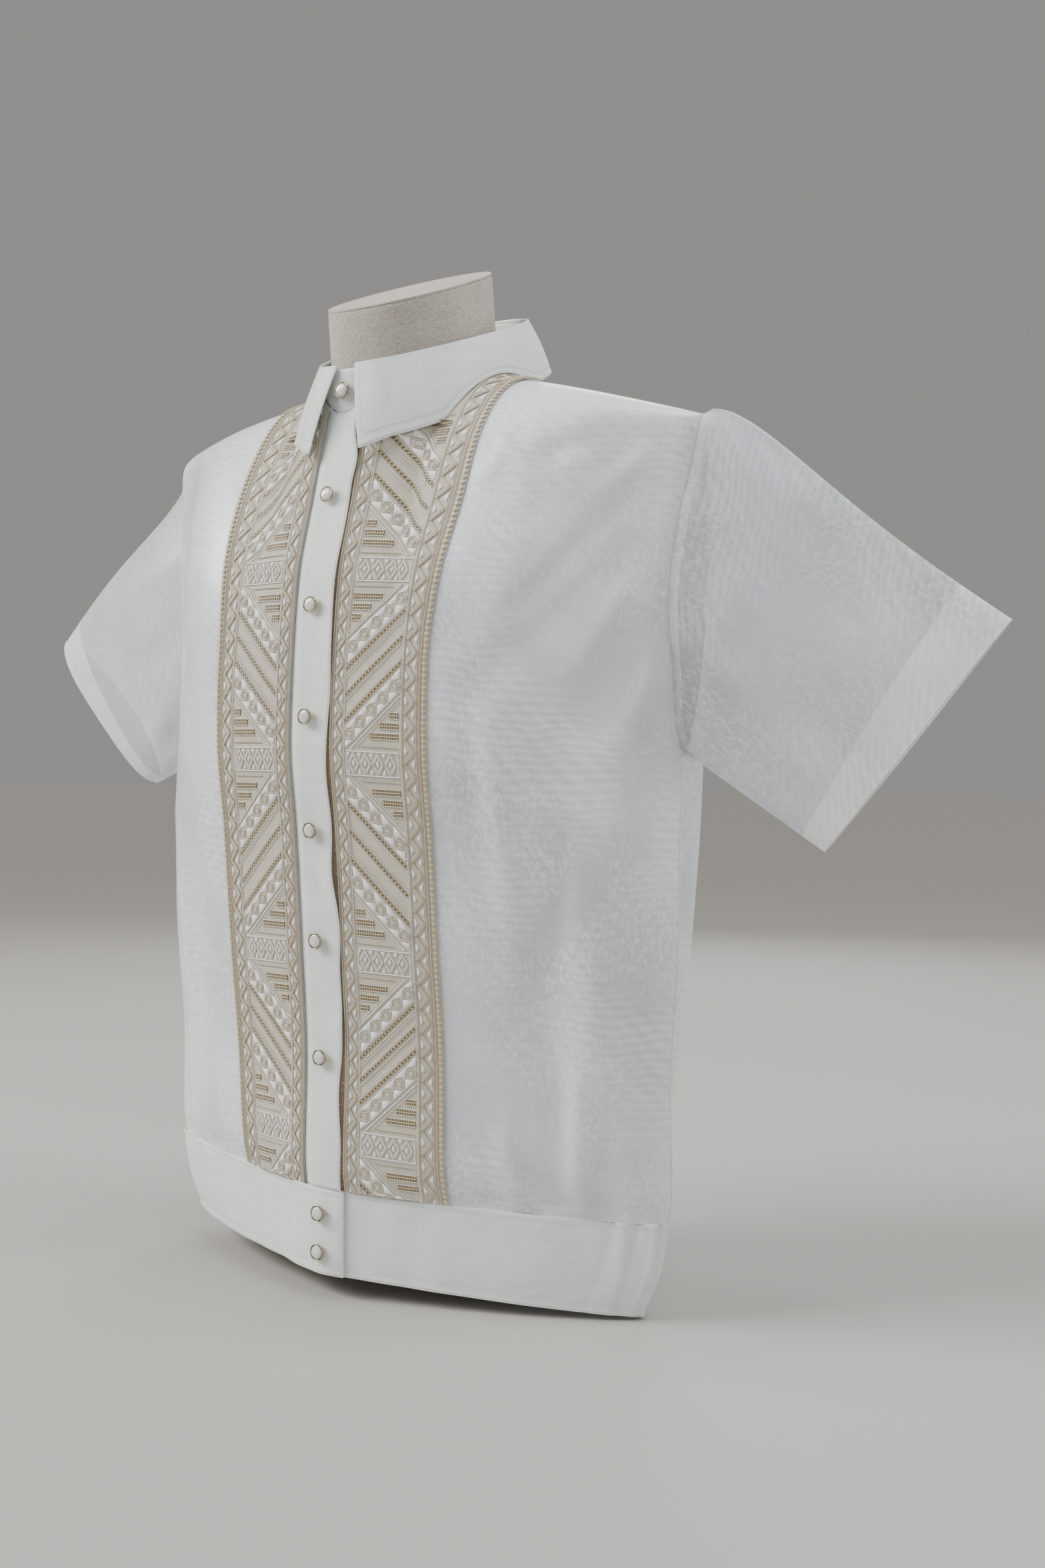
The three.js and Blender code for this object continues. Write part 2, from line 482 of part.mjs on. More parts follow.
// ---------------------------------------------------------------- on the fronts
// A strip between two x, laid out from the body's surface by out(x).
function strip(xs, out, wall) {
  const g = xs.map((x) => column(false, fixed(x), topRow(false, x)));
  const nn = outward(g);
  const o = moved(g, nn, (i) => out(xs[i]) + wall), n = moved(g, nn, (i) => out(xs[i]));
  return [o, n];
}
const across = (a, b, n) => steps(n, a, b);
const overOut = (x) => PLACKET.out * smooth((x - PLACKET.from) / 8) - (T * (1 - smooth((x - PLACKET.from) / 8)));
put('placket', solid(...trimmed(...strip([PLACKET.from, -14, -10, -4, 6, PLACKET.to], overOut, T), ['low', 'top'])), IVORY);
put('placket_under', solid(...trimmed(...strip([UNDER.from, 0, 9, UNDER.to], () => -T, T), ['low', 'top'])), IVORY);
for (const [name, sign] of [['panel_right', -1], ['panel_left', 1]]) {
  const g = SPREAD.map((s, i) => {
    const from = i ? s : { low: PANEL.from, high: PANEL.from };
    return column(false, spread(from, sign), topRow(false, from.high));
  });
  const nn = norms[sign < 0 ? 'right' : 'left'];
  put(name, solid(...trimmed(moved(g, nn, PANEL.out + PANEL.wall), moved(g, nn, PANEL.out), ['low', 'top'], 0.4)), LACE);
}

// ---------------------------------------------------------------- waistband
const bandRows = [0, 0.33, 0.67, 1];
function bandColumn(back, place, out) {
  return bandRows.map((r) => {
    const z = lerp(Z_HEM, Z_SEAM - GAP / 2, r);
    return { p: body.at(back, place(z, null), z, null, false), out };
  });
}
{
  const cols = [];
  const step = (x) => BAND.out * (1 - smooth((-x - 22) / 30));
  for (const x of [BAND.over, 9, 0, -9, -22, -30, -38, -52, -66, -80, -96]) cols.push(bandColumn(false, fixed(x), step(x)));
  for (const w of SIDE_W) cols.push(bandColumn(false, toSide(false, -1, 96, w), 0));
  for (const w of [...SIDE_W].reverse().slice(1)) cols.push(bandColumn(true, toSide(true, -1, 70, w), 0));
  for (const x of [-70, -35, 0, 35, 70]) cols.push(bandColumn(true, fixed(x), 0));
  for (const w of SIDE_W) cols.push(bandColumn(true, toSide(true, 1, 70, w), 0));
  for (const w of [...SIDE_W].reverse().slice(1)) cols.push(bandColumn(false, toSide(false, 1, 96, w), 0));
  for (const x of [96, 78, 60, 42, 26, 12, 0, BAND.under]) cols.push(bandColumn(false, fixed(x), 0));
  const mid = cols.map((c) => c.map((v) => v.p));
  const nn = outward(mid);
  const o = moved(mid, nn, (i) => cols[i][0].out + 0.3), n = moved(mid, nn, (i) => cols[i][0].out + 0.3 - T2);
  put('waistband', solid(o, n), IVORY);
}

// ---------------------------------------------------------------- collar
const surfaceZ = (x, y) => {
  const back = y > body.ridgeY(x);
  const q = body.shareAt(back, x, y);
  const z = Z_ARM + (body.ridgeZ(x) - Z_ARM) * q;
  return body.at(back, x / body.c.half(z), z, q, false)[2];
};
// Ring in plan: a turns from the front (0) through the wearer's right.
const ring = (r, a) => {
  const e = 2 / (r.full || 2);
  const s = Math.sign(Math.sin(a)) * Math.pow(Math.abs(Math.sin(a)), e), k = Math.sign(Math.cos(a)) * Math.pow(Math.abs(Math.cos(a)), e);
  const y = k > 0 ? NECK.y - (r.front + NECK.y) * k : NECK.y - (r.back - NECK.y) * k;
  return [-r.x * s + COLLAR_SHIFT, y];
};
const foldAt = (a) => { const [x, y] = ring(FOLD, a); return [x, y, FOLD.z0 + FOLD.slope * (y + FOLD.front + 2)]; };
const foot = { x: RING.x - NECK_SEAM - COLLAR_SHIFT, front: RING.front - NECK_SEAM, back: RING.back - NECK_SEAM };
const neckAt = (a) => { const [x, y] = ring(foot, a); return [x, y, surfaceZ(x, y) + 1]; };
// The over end of the stand steps out over the under end.
const standLift = (a) => 1.9 * (1 - smooth((a - 0.25) / 0.4));
const leafEdge = (a) => {
  const [x, y] = ring(LEAF, a);
  const z = LEAF.z0 + LEAF.slope * (y + LEAF.front);
  return [x, y, Math.max(z, surfaceZ(x, y) + LEAF.rest)];
};
{
  // stand: from the over end at +x, right round, to the under end at -x
  const a0 = -Math.asin(16 / FOLD.x), a1 = 2 * Math.PI + Math.asin(13 / FOLD.x);
  const turns = [a0, 0, 0.25, 0.45, ...steps(20, 0.62, 2 * Math.PI - 0.62), 2 * Math.PI - 0.25, a1];
  const cols = turns.map((a) => steps(3).map((t) => mix(neckAt(a), foldAt(a), t)));
  const nn = outward(cols);
  put('collar_stand', solid(moved(cols, nn, (i) => standLift(turns[i])), moved(cols, nn, (i) => standLift(turns[i]) - T)), IVORY);
}
{
  // leaf: rolls over the fold line and falls outside the stand
  const a0 = 0.10, a1 = 2 * Math.PI - 0.14, cols = [];
  const turns = [a0, ...steps(24, 0.3, 2 * Math.PI - 0.36), a1];
  for (const a of turns) {
    const f = foldAt(a), e = leafEdge(a);
    const open = clamp(1 - Math.min(a - a0, a1 - a) / 0.35, 0, 1);
    // the points of the leaf reach past the ends of the fold
    const tip = [e[0] + (a < Math.PI ? -1 : 1) * 10 * open, e[1] - 2 * open, e[2] - 4 * open];
    tip[2] = Math.max(tip[2], surfaceZ(tip[0], tip[1]) + LEAF.rest);
    const o = unit([f[0] - COLLAR_SHIFT, f[1] - NECK.y, 0]);
    const out = 2.3 + standLift(a) + 2 * smooth((a - 2 * Math.PI + 0.55) / 0.25);
    const head = add(f, o, out);
    const col = [add(add(f, o, out - 2), [0, 0, 1], 0.5), add(add(f, o, out - 1), [0, 0, 1], 2.9), add(head, [0, 0, 1], 2.0)];
    for (const t of [0.12, 0.34, 0.56, 0.78, 1]) {
      const p = mix(head, tip, t);
      col.push(add(p, o, 1.5 * Math.sin(Math.PI * t)));
    }
    cols.push(col);
  }
  const nn = normals(cols);
  let s = 0;
  cols.forEach((c, i) => { s += nn[i][5][0] * c[5][0] + nn[i][5][1] * c[5][1]; });
  const sn = s < 0 ? nn.map((c) => c.map((v) => [-v[0], -v[1], -v[2]])) : nn;
  put('collar_leaf', solid(cols, moved(cols, sn, -1.3)), IVORY);
}

// ---------------------------------------------------------------- dress form
const form = makeBody(FORM, 8, [], { x: 44, z: lerp(SHOULDER.z, NECK.z, (SHOULDER.x - 44) / (SHOULDER.x - NECK.x)), rise: 50 });
{
  const rows = [], around = 24;
  const levels = [...steps(3, -20, 25), 60, 110, 165, 220, 275, 330, Z_ARM];
  for (const z of levels) rows.push({ z, q: null });
  for (const w of steps(9).slice(1, -1)) rows.push({ z: 0, q: shareOfRow(w) });
  const pos = [], idx = [];
  const point = (row, a) => {
    const back = Math.cos(a) < 0, s = Math.sin(a);
    let z = row.z;
    if (row.q !== null) z = Z_ARM + (SHOULDER.z - Z_ARM) * row.q;
    let xi = Math.sign(s) * Math.pow(Math.abs(s), 2 / form.c.full(z));
    const p = form.at(back, xi, z, row.q, false);
    return row.q === null ? [p[0], p[1], z] : p;
  };
  for (const row of rows) for (let k = 0; k < around; k++) {
    const p = point(row, (k / around) * 2 * Math.PI);
    pos.push(p[0], p[1], p[2] + LIFT);
  }
  const n = rows.length, id = (i, k) => i * around + (k % around);
  for (let i = 0; i < n - 1; i++) for (let k = 0; k < around; k++) {
    idx.push(id(i, k), id(i, k + 1), id(i + 1, k + 1), id(i, k), id(i + 1, k + 1), id(i + 1, k));
  }
  // flat base, and the shoulder line closed as a ridge between front and back
  const base = pos.length / 3; pos.push(0, 0, 0);
  for (let k = 0; k < around; k++) idx.push(base, id(0, k + 1), id(0, k));
  const top = pos.length / 3;
  const ridge = [];
  for (let k = 0; k <= around / 2; k++) {
    const a = (k / around) * 2 * Math.PI - Math.PI / 2;      // from -x side to +x side over the front
    const p = point({ z: 0, q: 1 }, a);
    ridge.push(top + k); pos.push(p[0], form.ridgeY(p[0]), p[2] + LIFT);
  }
  const r = n - 1, q4 = around / 4;
  for (let k = 0; k < around / 2; k++) {
    const f = (k - q4 + around) % around, f2 = (k + 1 - q4 + around) % around;       // front column
    const b = (around / 2 - (k - q4) + around) % around, b2 = (around / 2 - (k + 1 - q4) + around) % around;
    if (k > 0) idx.push(id(r, f), ridge[k + 1], ridge[k]);
    else idx.push(id(r, f), ridge[1], ridge[0]);
    idx.push(id(r, f), id(r, f2), ridge[k + 1]);
    idx.push(id(r, b), ridge[k], ridge[k + 1]);
    idx.push(id(r, b), ridge[k + 1], id(r, b2));
  }
  const torso = facing(pos, idx);
  const toManifold = (g) => {
    const c = g.clone(); c.deleteAttribute('normal'); if (c.attributes.uv) c.deleteAttribute('uv');
    const mg = mergeVertices(c, 1e-4);
    return new wasm.Manifold(new wasm.Mesh({ numProp: 3, vertProperties: new Float32Array(mg.attributes.position.array), triVerts: new Uint32Array(mg.index.array) }));
  };
  // neck: leans forward, its top cut slanting up to the back
  const nr = 24, np = [], ni = [];
  const ringsZ = [0, 0.3, 0.55, 0.78, 0.93, 1], bulge = [3, 1, 0.4, 0.2, 0, -1.2];
  ringsZ.forEach((t, i) => {
    for (let k = 0; k < nr; k++) {
      const a = (k / nr) * 2 * Math.PI, rr = NECK_FORM.r + bulge[i];
      const x = rr * Math.sin(a), y0 = rr * Math.cos(a);
      const topZ = lerp(NECK_FORM.topFront, NECK_FORM.topBack, (y0 + NECK_FORM.r) / (2 * NECK_FORM.r));
      const z = lerp(NECK_FORM.zLow, topZ, t);
      np.push(x, NECK_FORM.yLow + NECK_FORM.lean * (z - NECK_FORM.zLow) + y0, z + LIFT);
    }
  });
  const m = ringsZ.length;
  for (let i = 0; i < m - 1; i++) for (let k = 0; k < nr; k++) {
    const a = i * nr + k, b = i * nr + (k + 1) % nr;
    ni.push(a, b, b + nr, a, b + nr, a + nr);
  }
  for (let k = 1; k < nr - 1; k++) { ni.push(0, k + 1, k); ni.push((m - 1) * nr, (m - 1) * nr + k, (m - 1) * nr + k + 1); }
  const neck = facing(np, ni);
  const both = toManifold(torso).add(toManifold(neck)).getMesh();
  const g = new THREE.BufferGeometry();
  g.setAttribute('position', new THREE.BufferAttribute(new Float32Array(both.vertProperties), 3));
  g.setIndex(new THREE.BufferAttribute(new Uint32Array(both.triVerts), 1));
  g.computeVertexNormals();
  put('dress_form', g, LINEN);
}

// ---------------------------------------------------------------- buttons
BUTTONS.forEach((b, k) => {
  let p, n;
  if (b.on === 'stand') {
    p = mix(neckAt(0), foldAt(0), 0.5); n = unit([0, -1, 0.12]); p = add(p, n, 1.9 + 0.5);
    p[0] = 0;
  } else {
    const out = b.on === 'band' ? BAND.out + 0.3 : PLACKET.out + T;
    let z = b.z, q = null;
    if (z > Z_ARM) q = (z - Z_ARM) / (body.ridgeZ(0) - Z_ARM);
    const s = body.at(false, 0, z, q), s2 = body.at(false, 0, z + 6, q === null ? null : q + 6 / (body.ridgeZ(0) - Z_ARM));
    const up = unit(sub(s2, s));
    n = unit(cross([1, 0, 0], up));
    if (n[1] > 0) n = [-n[0], -n[1], -n[2]];
    p = add(s, n, out + 0.4);
  }
  const lathe = (rows) => new THREE.LatheGeometry(rows.map(([r, h]) => new THREE.Vector2(r, h)), 14);
  const R = BUTTON.r, H = BUTTON.h;
  const cup = lathe([[0, 0], [2.2, 0], [2.2, 0.8], [R - 0.9, 1.3], [R, 2.3], [R, 3.2], [R - 0.5, 3.7], [R - 1.1, 3.3], [R - 1.2, 2.5], [0, 2.5]]);
  const pearl = lathe([[0, 2.8], [R - 1.6, 2.8], [R - 1.6, 3.4], [R - 2.6, H - 0.35], [R - 4.2, H], [0, H + 0.1]]);
  const q4 = new THREE.Quaternion().setFromUnitVectors(new THREE.Vector3(0, 1, 0), new THREE.Vector3(...n));
  for (const [name, g, mat] of [[`button_${k + 1}`, cup, METAL], [`pearl_${k + 1}`, pearl, PEARL]]) {
    const c = g.clone(); c.deleteAttribute('uv'); c.deleteAttribute('normal');
    const merged = mergeVertices(c, 1e-4);
    merged.computeVertexNormals();
    const mesh = new THREE.Mesh(merged, mat);
    mesh.name = name;
    mesh.quaternion.copy(q4);
    mesh.position.set(p[0], p[1], p[2] + LIFT);
    group.add(mesh);
  }
});

export default group;
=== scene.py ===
"""Looks of a short-sleeved barong tagalog on a limbless dress form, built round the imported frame.
Tables are in millimetres, with their zero 20 mm above the form's base; every mesh is made in metres in the row's frame."""
import math
import bpy
import numpy as np
from mathutils import Matrix, Vector


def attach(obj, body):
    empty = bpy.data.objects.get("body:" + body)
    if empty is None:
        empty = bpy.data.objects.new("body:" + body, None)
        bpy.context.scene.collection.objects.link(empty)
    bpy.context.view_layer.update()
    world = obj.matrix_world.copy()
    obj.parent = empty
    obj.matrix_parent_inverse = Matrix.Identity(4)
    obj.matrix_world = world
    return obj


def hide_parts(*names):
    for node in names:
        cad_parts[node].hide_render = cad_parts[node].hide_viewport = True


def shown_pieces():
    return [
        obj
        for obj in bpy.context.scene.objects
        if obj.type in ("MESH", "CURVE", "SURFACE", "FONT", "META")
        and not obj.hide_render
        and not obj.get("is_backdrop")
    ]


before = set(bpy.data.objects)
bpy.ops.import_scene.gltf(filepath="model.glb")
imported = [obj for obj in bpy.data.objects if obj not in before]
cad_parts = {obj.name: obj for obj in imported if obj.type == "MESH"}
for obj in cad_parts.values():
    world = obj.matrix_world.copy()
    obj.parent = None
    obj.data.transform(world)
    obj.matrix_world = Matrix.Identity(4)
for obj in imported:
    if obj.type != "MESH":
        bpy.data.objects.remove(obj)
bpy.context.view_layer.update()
RNG = np.random.default_rng(7)

# ------------------------------------------------------------------ sizes (as the solids')
LIFT = 20.0
Z_HEM, Z_SEAM, Z_ARM = -3.0, 57.0, 372.0
ARCH = dict(neck=2.4, arm=3.0, lo=60.0, hi=180.0)
SHOULDER = dict(x=246.0, z=601.0, y=-12.0, crown=1.5)
NECK = dict(x=62.0, z=648.0, y=2.0, rise=110.0)
RING = dict(x=72.0, front=98.0, back=78.0)
NECK_SEAM = 1.5
PLACKET = dict(lo=-17.9, hi=17.0, out=1.9)
PANEL_FROM, PANEL_TO = 18.6, 96.0
SPREAD_LOW = np.array([0, 18.15, 34, 50, 61, 70, 83, 96.0])
SPREAD_HIGH = np.array([0, 18.15, 37, 54, 66, 72, 89, 107.0])
SECTIONS = np.array([  # z, half width, front, back, fullness, side
    [0, 213, 112, 72, 1.30, -20], [28, 226, 112, 80, 1.30, -20], [57, 231, 112, 86, 1.32, -19],
    [74, 233, 113, 90, 1.40, -18], [145, 229, 111, 102, 1.65, -14], [235, 231, 117, 115, 1.90, -9],
    [312, 229, 124, 129, 2.05, -4], [375, 228, 131, 129, 2.20, 0], [430, 232, 130, 128, 2.30, 0],
    [490, 238, 128, 127, 2.30, 0], [549, 243, 119.5, 121, 2.30, 0], [610, 247, 114, 109, 2.30, 0],
    [690, 247, 110, 106, 2.30, 0]], float)
FORM = np.array([
    [-20, 140, 52, 50, 1.9, 0], [-8, 150, 62, 54, 1.85, 0], [25, 162, 82, 60, 1.75, 0], [75, 168, 93, 68, 1.75, 0],
    [160, 166, 94, 80, 2.0, 0], [250, 168, 98, 96, 2.2, 0], [340, 180, 110, 108, 2.2, 0], [420, 196, 114, 110, 2.0, 0],
    [500, 212, 110, 106, 1.9, 0], [570, 224, 102, 96, 1.9, 0], [620, 226, 98, 88, 2.0, 0], [700, 226, 94, 80, 2.0, 0]], float)
ARMHOLE = np.array([[372, 0, 0], [395, .004, .004], [428, .013, .013], [460, .024, .024], [490, .030, .032],
                    [536, .024, .030], [560, .014, .022], [585, .006, .010], [602, 0, 0]], float)
HOLLOW_AT, HOLLOW_WIDE, SKEW = 0.86, 0.17, 0.04
HOLLOW = np.array([[320, 0, 0], [375, 8, 4], [430, 20, 10], [490, 22, 12], [549, 18, 9], [580, 11, 5], [604, 0, 0]], float)
# main folds of the body: x0, z0, x1, z1, half width, depth, back
FOLDS = [
    (216, 520, 120, 395, 15, -4.0, 0), (219, 470, 165, 330, 13, -3.5, 0), (150, 330, 176, 70, 26, -4.5, 0),
    (190, 300, 205, 66, 16, 2.5, 0), (-214, 500, -140, 400, 14, -3.0, 0), (-150, 300, -166, 70, 24, -3.5, 0),
    (205, 505, 110, 380, 18, -4.0, 1), (-205, 500, -95, 370, 18, -4.0, 1), (-60, 330, -92, 68, 28, -5.0, 1),
    (96, 350, 70, 72, 26, -4.5, 1), (12, 280, 4, 66, 22, -3.5, 1)]
# softer creases, given one by one, uneven in length, depth and spacing
CREASES = [
    (212, 545, 138, 452, 7, -1.9, 0), (221, 500, 176, 415, 6, 1.5, 0), (222, 452, 188, 372, 6, -1.6, 0),
    (118, 430, 131, 255, 10, -1.2, 0), (134, 410, 150, 180, 8, 1.3, 0), (186, 372, 168, 215, 9, -1.6, 0),
    (205, 350, 196, 160, 7, 1.3, 0), (160, 215, 171, 62, 8, -1.6, 0), (180, 180, 188, 60, 6, 1.4, 0),
    (199, 140, 203, 58, 5, -1.5, 0), (214, 120, 214, 58, 4, 1.1, 0), (139, 140, 144, 58, 6, 1.0, 0),
    (122, 118, 124, 58, 5, -0.8, 0), (190, 590, 150, 560, 9, -1.2, 0), (225, 585, 190, 535, 7, 1.2, 0),
    (132, 618, 118, 548, 10, 1.1, 0), (160, 604, 164, 520, 9, -1.0, 0),
    (-205, 540, -150, 470, 8, -1.6, 0), (-216, 470, -180, 380, 7, 1.4, 0), (-130, 420, -142, 210, 10, -1.3, 0),
    (-182, 330, -176, 130, 9, 1.4, 0), (-200, 200, -203, 60, 6, -1.5, 0), (-170, 130, -173, 58, 6, 1.3, 0),
    (-146, 110, -148, 58, 5, -1.0, 0),
    (-200, 430, -128, 335, 9, 1.8, 1), (201, 440, 138, 350, 9, 1.7, 1), (-178, 360, -150, 150, 14, -2.2, 1),
    (172, 350, 146, 130, 13, -2.0, 1), (-120, 250, -128, 58, 10, 2.0, 1), (38, 300, 34, 60, 10, 1.9, 1),
    (-28, 240, -24, 58, 8, -1.7, 1), (124, 230, 118, 60, 9, 1.9, 1), (-190, 170, -186, 58, 8, -1.6, 1),
    (190, 180, 184, 58, 8, -1.7, 1), (-70, 520, -40, 420, 16, -1.5, 1), (66, 515, 30, 430, 15, -1.4, 1),
    (-110, 590, -150, 545, 12, -1.3, 1), (112, 588, 156, 542, 12, -1.2, 1), (0, 560, 0, 430, 22, 1.1, 1)]
SLEEVES = {
    "left": dict(top=(448, 37, 455.5), low=(322, 28, 303), thick=6, cap=18, belly=7, sag=0),
    "right": dict(top=(-448, 37, 470), low=(-322, 28, 342), thick=20, cap=-18, belly=10, sag=3)}
SLEEVE_HEM = 33.0
FOLD = dict(x=69.5, front=97.0, back=71.0, z0=641.0, slope=0.379)
COLLAR_SHIFT = 1.0
LEAF = dict(x=84.0, front=112.0, back=88.0, full=2.35, z0=585.0, slope=0.44, rest=3.6)
BUTTONS = [(624.5, "stand"), (548.7, "placket"), (470.1, "placket"), (391.5, "placket"), (312.3, "placket"),
           (233.9, "placket"), (150.4, "placket"), (39.6, "band"), (12.1, "band")]
NECK_FORM = dict(r=62.0, zLow=600.0, yLow=-12.4, lean=-0.125, topFront=688.0, topBack=737.0)


# ------------------------------------------------------------------ small maths
def sm(t):
    t = np.clip(t, 0, 1)
    return t * t * (3 - 2 * t)


def lerp(a, b, t):
    return a + (b - a) * t


def unit(v):
    v = np.asarray(v, float)
    return v / np.maximum(np.linalg.norm(v, axis=-1, keepdims=True), 1e-9)


class Curve:
    """Monotone cubic through a table's column."""

    def __init__(self, x, y):
        self.x, self.y = np.asarray(x, float), np.asarray(y, float)
        d = np.diff(self.y) / np.diff(self.x)
        m = np.zeros(len(self.x))
        for i in range(1, len(m) - 1):
            m[i] = 0 if d[i - 1] * d[i] <= 0 else 2 * d[i - 1] * d[i] / (d[i - 1] + d[i])
        m[0], m[-1] = d[0], d[-1]
        self.m = m

    def __call__(self, v):
        v = np.clip(v, self.x[0], self.x[-1])
        i = np.clip(np.searchsorted(self.x, v, side="right") - 1, 0, len(self.x) - 2)
        h = self.x[i + 1] - self.x[i]
        t = (v - self.x[i]) / h
        t2, t3 = t * t, t * t * t
        return ((2 * t3 - 3 * t2 + 1) * self.y[i] + (t3 - 2 * t2 + t) * h * self.m[i]
                + (3 * t2 - 2 * t3) * self.y[i + 1] + (t3 - t2) * h * self.m[i + 1])


hollow_f, hollow_b = Curve(HOLLOW[:, 0], HOLLOW[:, 1]), Curve(HOLLOW[:, 0], HOLLOW[:, 2])
arm_f, arm_b = Curve(ARMHOLE[:, 0], ARMHOLE[:, 1]), Curve(ARMHOLE[:, 0], ARMHOLE[:, 2])


class Body:
    def __init__(self, rows, drop=0.0, folded=True, neck=NECK):
        self.half, self.front, self.back_, self.full, self.side = (Curve(rows[:, 0], rows[:, k]) for k in range(1, 6))
        self.drop, self.folded, self.neck = drop, folded, neck

    def ridge_z(self, x):
        ax = np.abs(x)
        k = (SHOULDER["x"] - ax) / (SHOULDER["x"] - NECK["x"])
        n = self.neck
        return np.where(ax >= n["x"], SHOULDER["z"] + k * (NECK["z"] - SHOULDER["z"]) + SHOULDER["crown"] * np.sin(np.pi * np.clip(k, 0, 1)),
                        n["z"] + n["rise"] * (1 - (ax / n["x"]) ** 2)) - self.drop

    def ridge_y(self, x):
        return lerp(NECK["y"], SHOULDER["y"], np.clip((np.abs(x) - NECK["x"]) / (SHOULDER["x"] - NECK["x"]), 0, 1))

    def at(self, back, xi, z, q=None, creased=True):
        """Point of the section at share xi of the half width: level z, or share q of the way to the shoulder line."""
        xi, z = np.broadcast_arrays(np.asarray(xi, float), np.asarray(z, float))
        x = xi * self.half(z)
        if q is not None:
            for _ in range(4):
                z = Z_ARM + (self.ridge_z(x) - Z_ARM) * q
                x = xi * self.half(z)
        n = self.full(z)
        rnd = np.clip(1 - np.abs(xi) ** n, 0, 1) ** (1 / n)
        depth = self.back_(z) if back else -self.front(z)
        qq = 0.0 if q is None else np.clip(q, 0, 1)
        e = lerp(ARCH["neck"], ARCH["arm"], sm((np.abs(x) - ARCH["lo"]) / (ARCH["hi"] - ARCH["lo"])))
        arch = np.clip(1 - qq ** e, 0, 1) ** (1 / e)
        y = depth * rnd * arch + self.side(z) * xi * xi + self.ridge_y(x) * qq
        if self.folded:
            off = (np.abs(xi) - HOLLOW_AT) / HOLLOW_WIDE
            y = y + (-hollow_b(z) if back else hollow_f(z)) * np.exp(-off * off) * sm(rnd / 0.25)
            y = y + SKEW * x * (1 - xi * xi) * sm((z - Z_SEAM) / 150) * (1 - sm((z - 520) / 80))
            for group, power, gain in ((FOLDS, 0.8, 1.5 if creased else 1.0), (CREASES if creased else (), 1.0, 2.3)):
                for x0, z0, x1, z1, wide, deep, bk in group:
                    if bool(bk) != back:
                        continue
                    dx, dz = x1 - x0, z1 - z0
                    l2 = dx * dx + dz * dz
                    s = ((x - x0) * dx + (z - z0) * dz) / l2
                    wob = 0.0 if power == 0.8 else 0.35 * wide * np.sin(s * 5.1 + x0 * 0.7)
                    off = (((x - x0) * dz - (z - z0) * dx) / math.sqrt(l2) + wob) / wide
                    end = 0.16 if group is CREASES and z1 < 75 else None
                    bell = np.sin(np.pi * np.clip(s, 0, 1) ** power) if end is None else sm(s / 0.45) * 1.0 * sm((1.15 - s) / 0.15)
                    y = y + np.where((s < 0) | (s > 1), 0, (1 if back else -1) * gain * deep * np.exp(-off * off) * bell * np.minimum(rnd * 1.6, 1))
        t = -0.05 + 0.02 * np.clip(z / Z_SEAM, 0, 1) + 0.02 * np.clip((z - Z_SEAM) / 250, 0, 1)
        lean = t * x - lerp(3.7, 0, np.clip(z / 110, 0, 1)) * (x / 213) ** 2
        return np.stack([x, y, z + lean], -1)

    def share_at(self, back, x, y):
        x, y = np.broadcast_arrays(np.asarray(x, float), np.asarray(y, float))
        lo, hi = np.zeros(x.shape), np.ones(x.shape)
        for _ in range(34):
            q = (lo + hi) / 2
            z = Z_ARM + (self.ridge_z(x) - Z_ARM) * q
            p = self.at(back, x / self.half(z), z, q, creased=False)
            inside = p[..., 1] > y if back else p[..., 1] < y
            lo, hi = np.where(inside, q, lo), np.where(inside, hi, q)
        return (lo + hi) / 2


body = Body(SECTIONS)

_a = np.linspace(0, np.pi / 2, 801)
_p = np.stack([np.cos(_a) ** (2 / 3) * 110, np.sin(_a) ** (2 / 3) * 232], -1)
_len = np.concatenate([[0], np.cumsum(np.linalg.norm(np.diff(_p, axis=0), axis=1))])
ARCH_LEN = float(_len[-1])


def share_of_row(w):
    return np.sin(np.interp(np.clip(w, 0, 1) * ARCH_LEN, _len, _a)) ** (2 / 3)


_q = share_of_row(np.linspace(0, 1, 801))


def row_of_share(q):
    return np.interp(q, _q, np.linspace(0, 1, 801))


def neck_y(back, x):
    u = np.clip(np.abs(x) / RING["x"], 0, 1)
    return NECK["y"] + (RING["back"] - NECK["y"] if back else -RING["front"] - NECK["y"]) * np.sqrt(1 - u * u)


def top_row(back, x):
    x = np.asarray(x, float)
    return np.where(np.abs(x) >= RING["x"] - 1e-6, 1.0, np.minimum(1, row_of_share(body.share_at(back, x, neck_y(back, x)))))


def spread_x(a, z):
    low, high = a, np.interp(a, SPREAD_LOW, SPREAD_HIGH)
    return lerp(low, high, sm((z - 430) / 140))


def place(back, a, z):
    """Share of the half width of column a (mm from the middle low down; past the edge it is the share of the way to the side)."""
    s, m = np.sign(a), np.abs(a)
    half, full = body.half(z), body.full(z)
    x_in = m if back else spread_x(np.minimum(m, PANEL_TO), z)
    edge = RING["x"] if back else PANEL_TO
    start = RING["x"] if back else spread_x(PANEL_TO, z)
    w = np.clip((m - edge) / 100.0, 0, 1)
    t0 = np.arcsin(np.clip(start / half, 0, 1) ** (full / 2))
    share = np.where(z <= Z_ARM, 1.0, 1 - (arm_b(z) if back else arm_f(z)))
    t1 = np.arcsin(np.clip(share, 0, 1) ** (full / 2))
    side = np.sin(lerp(t0, t1, w)) ** (2 / full)
    return s * np.where(m <= edge, x_in / half, side)


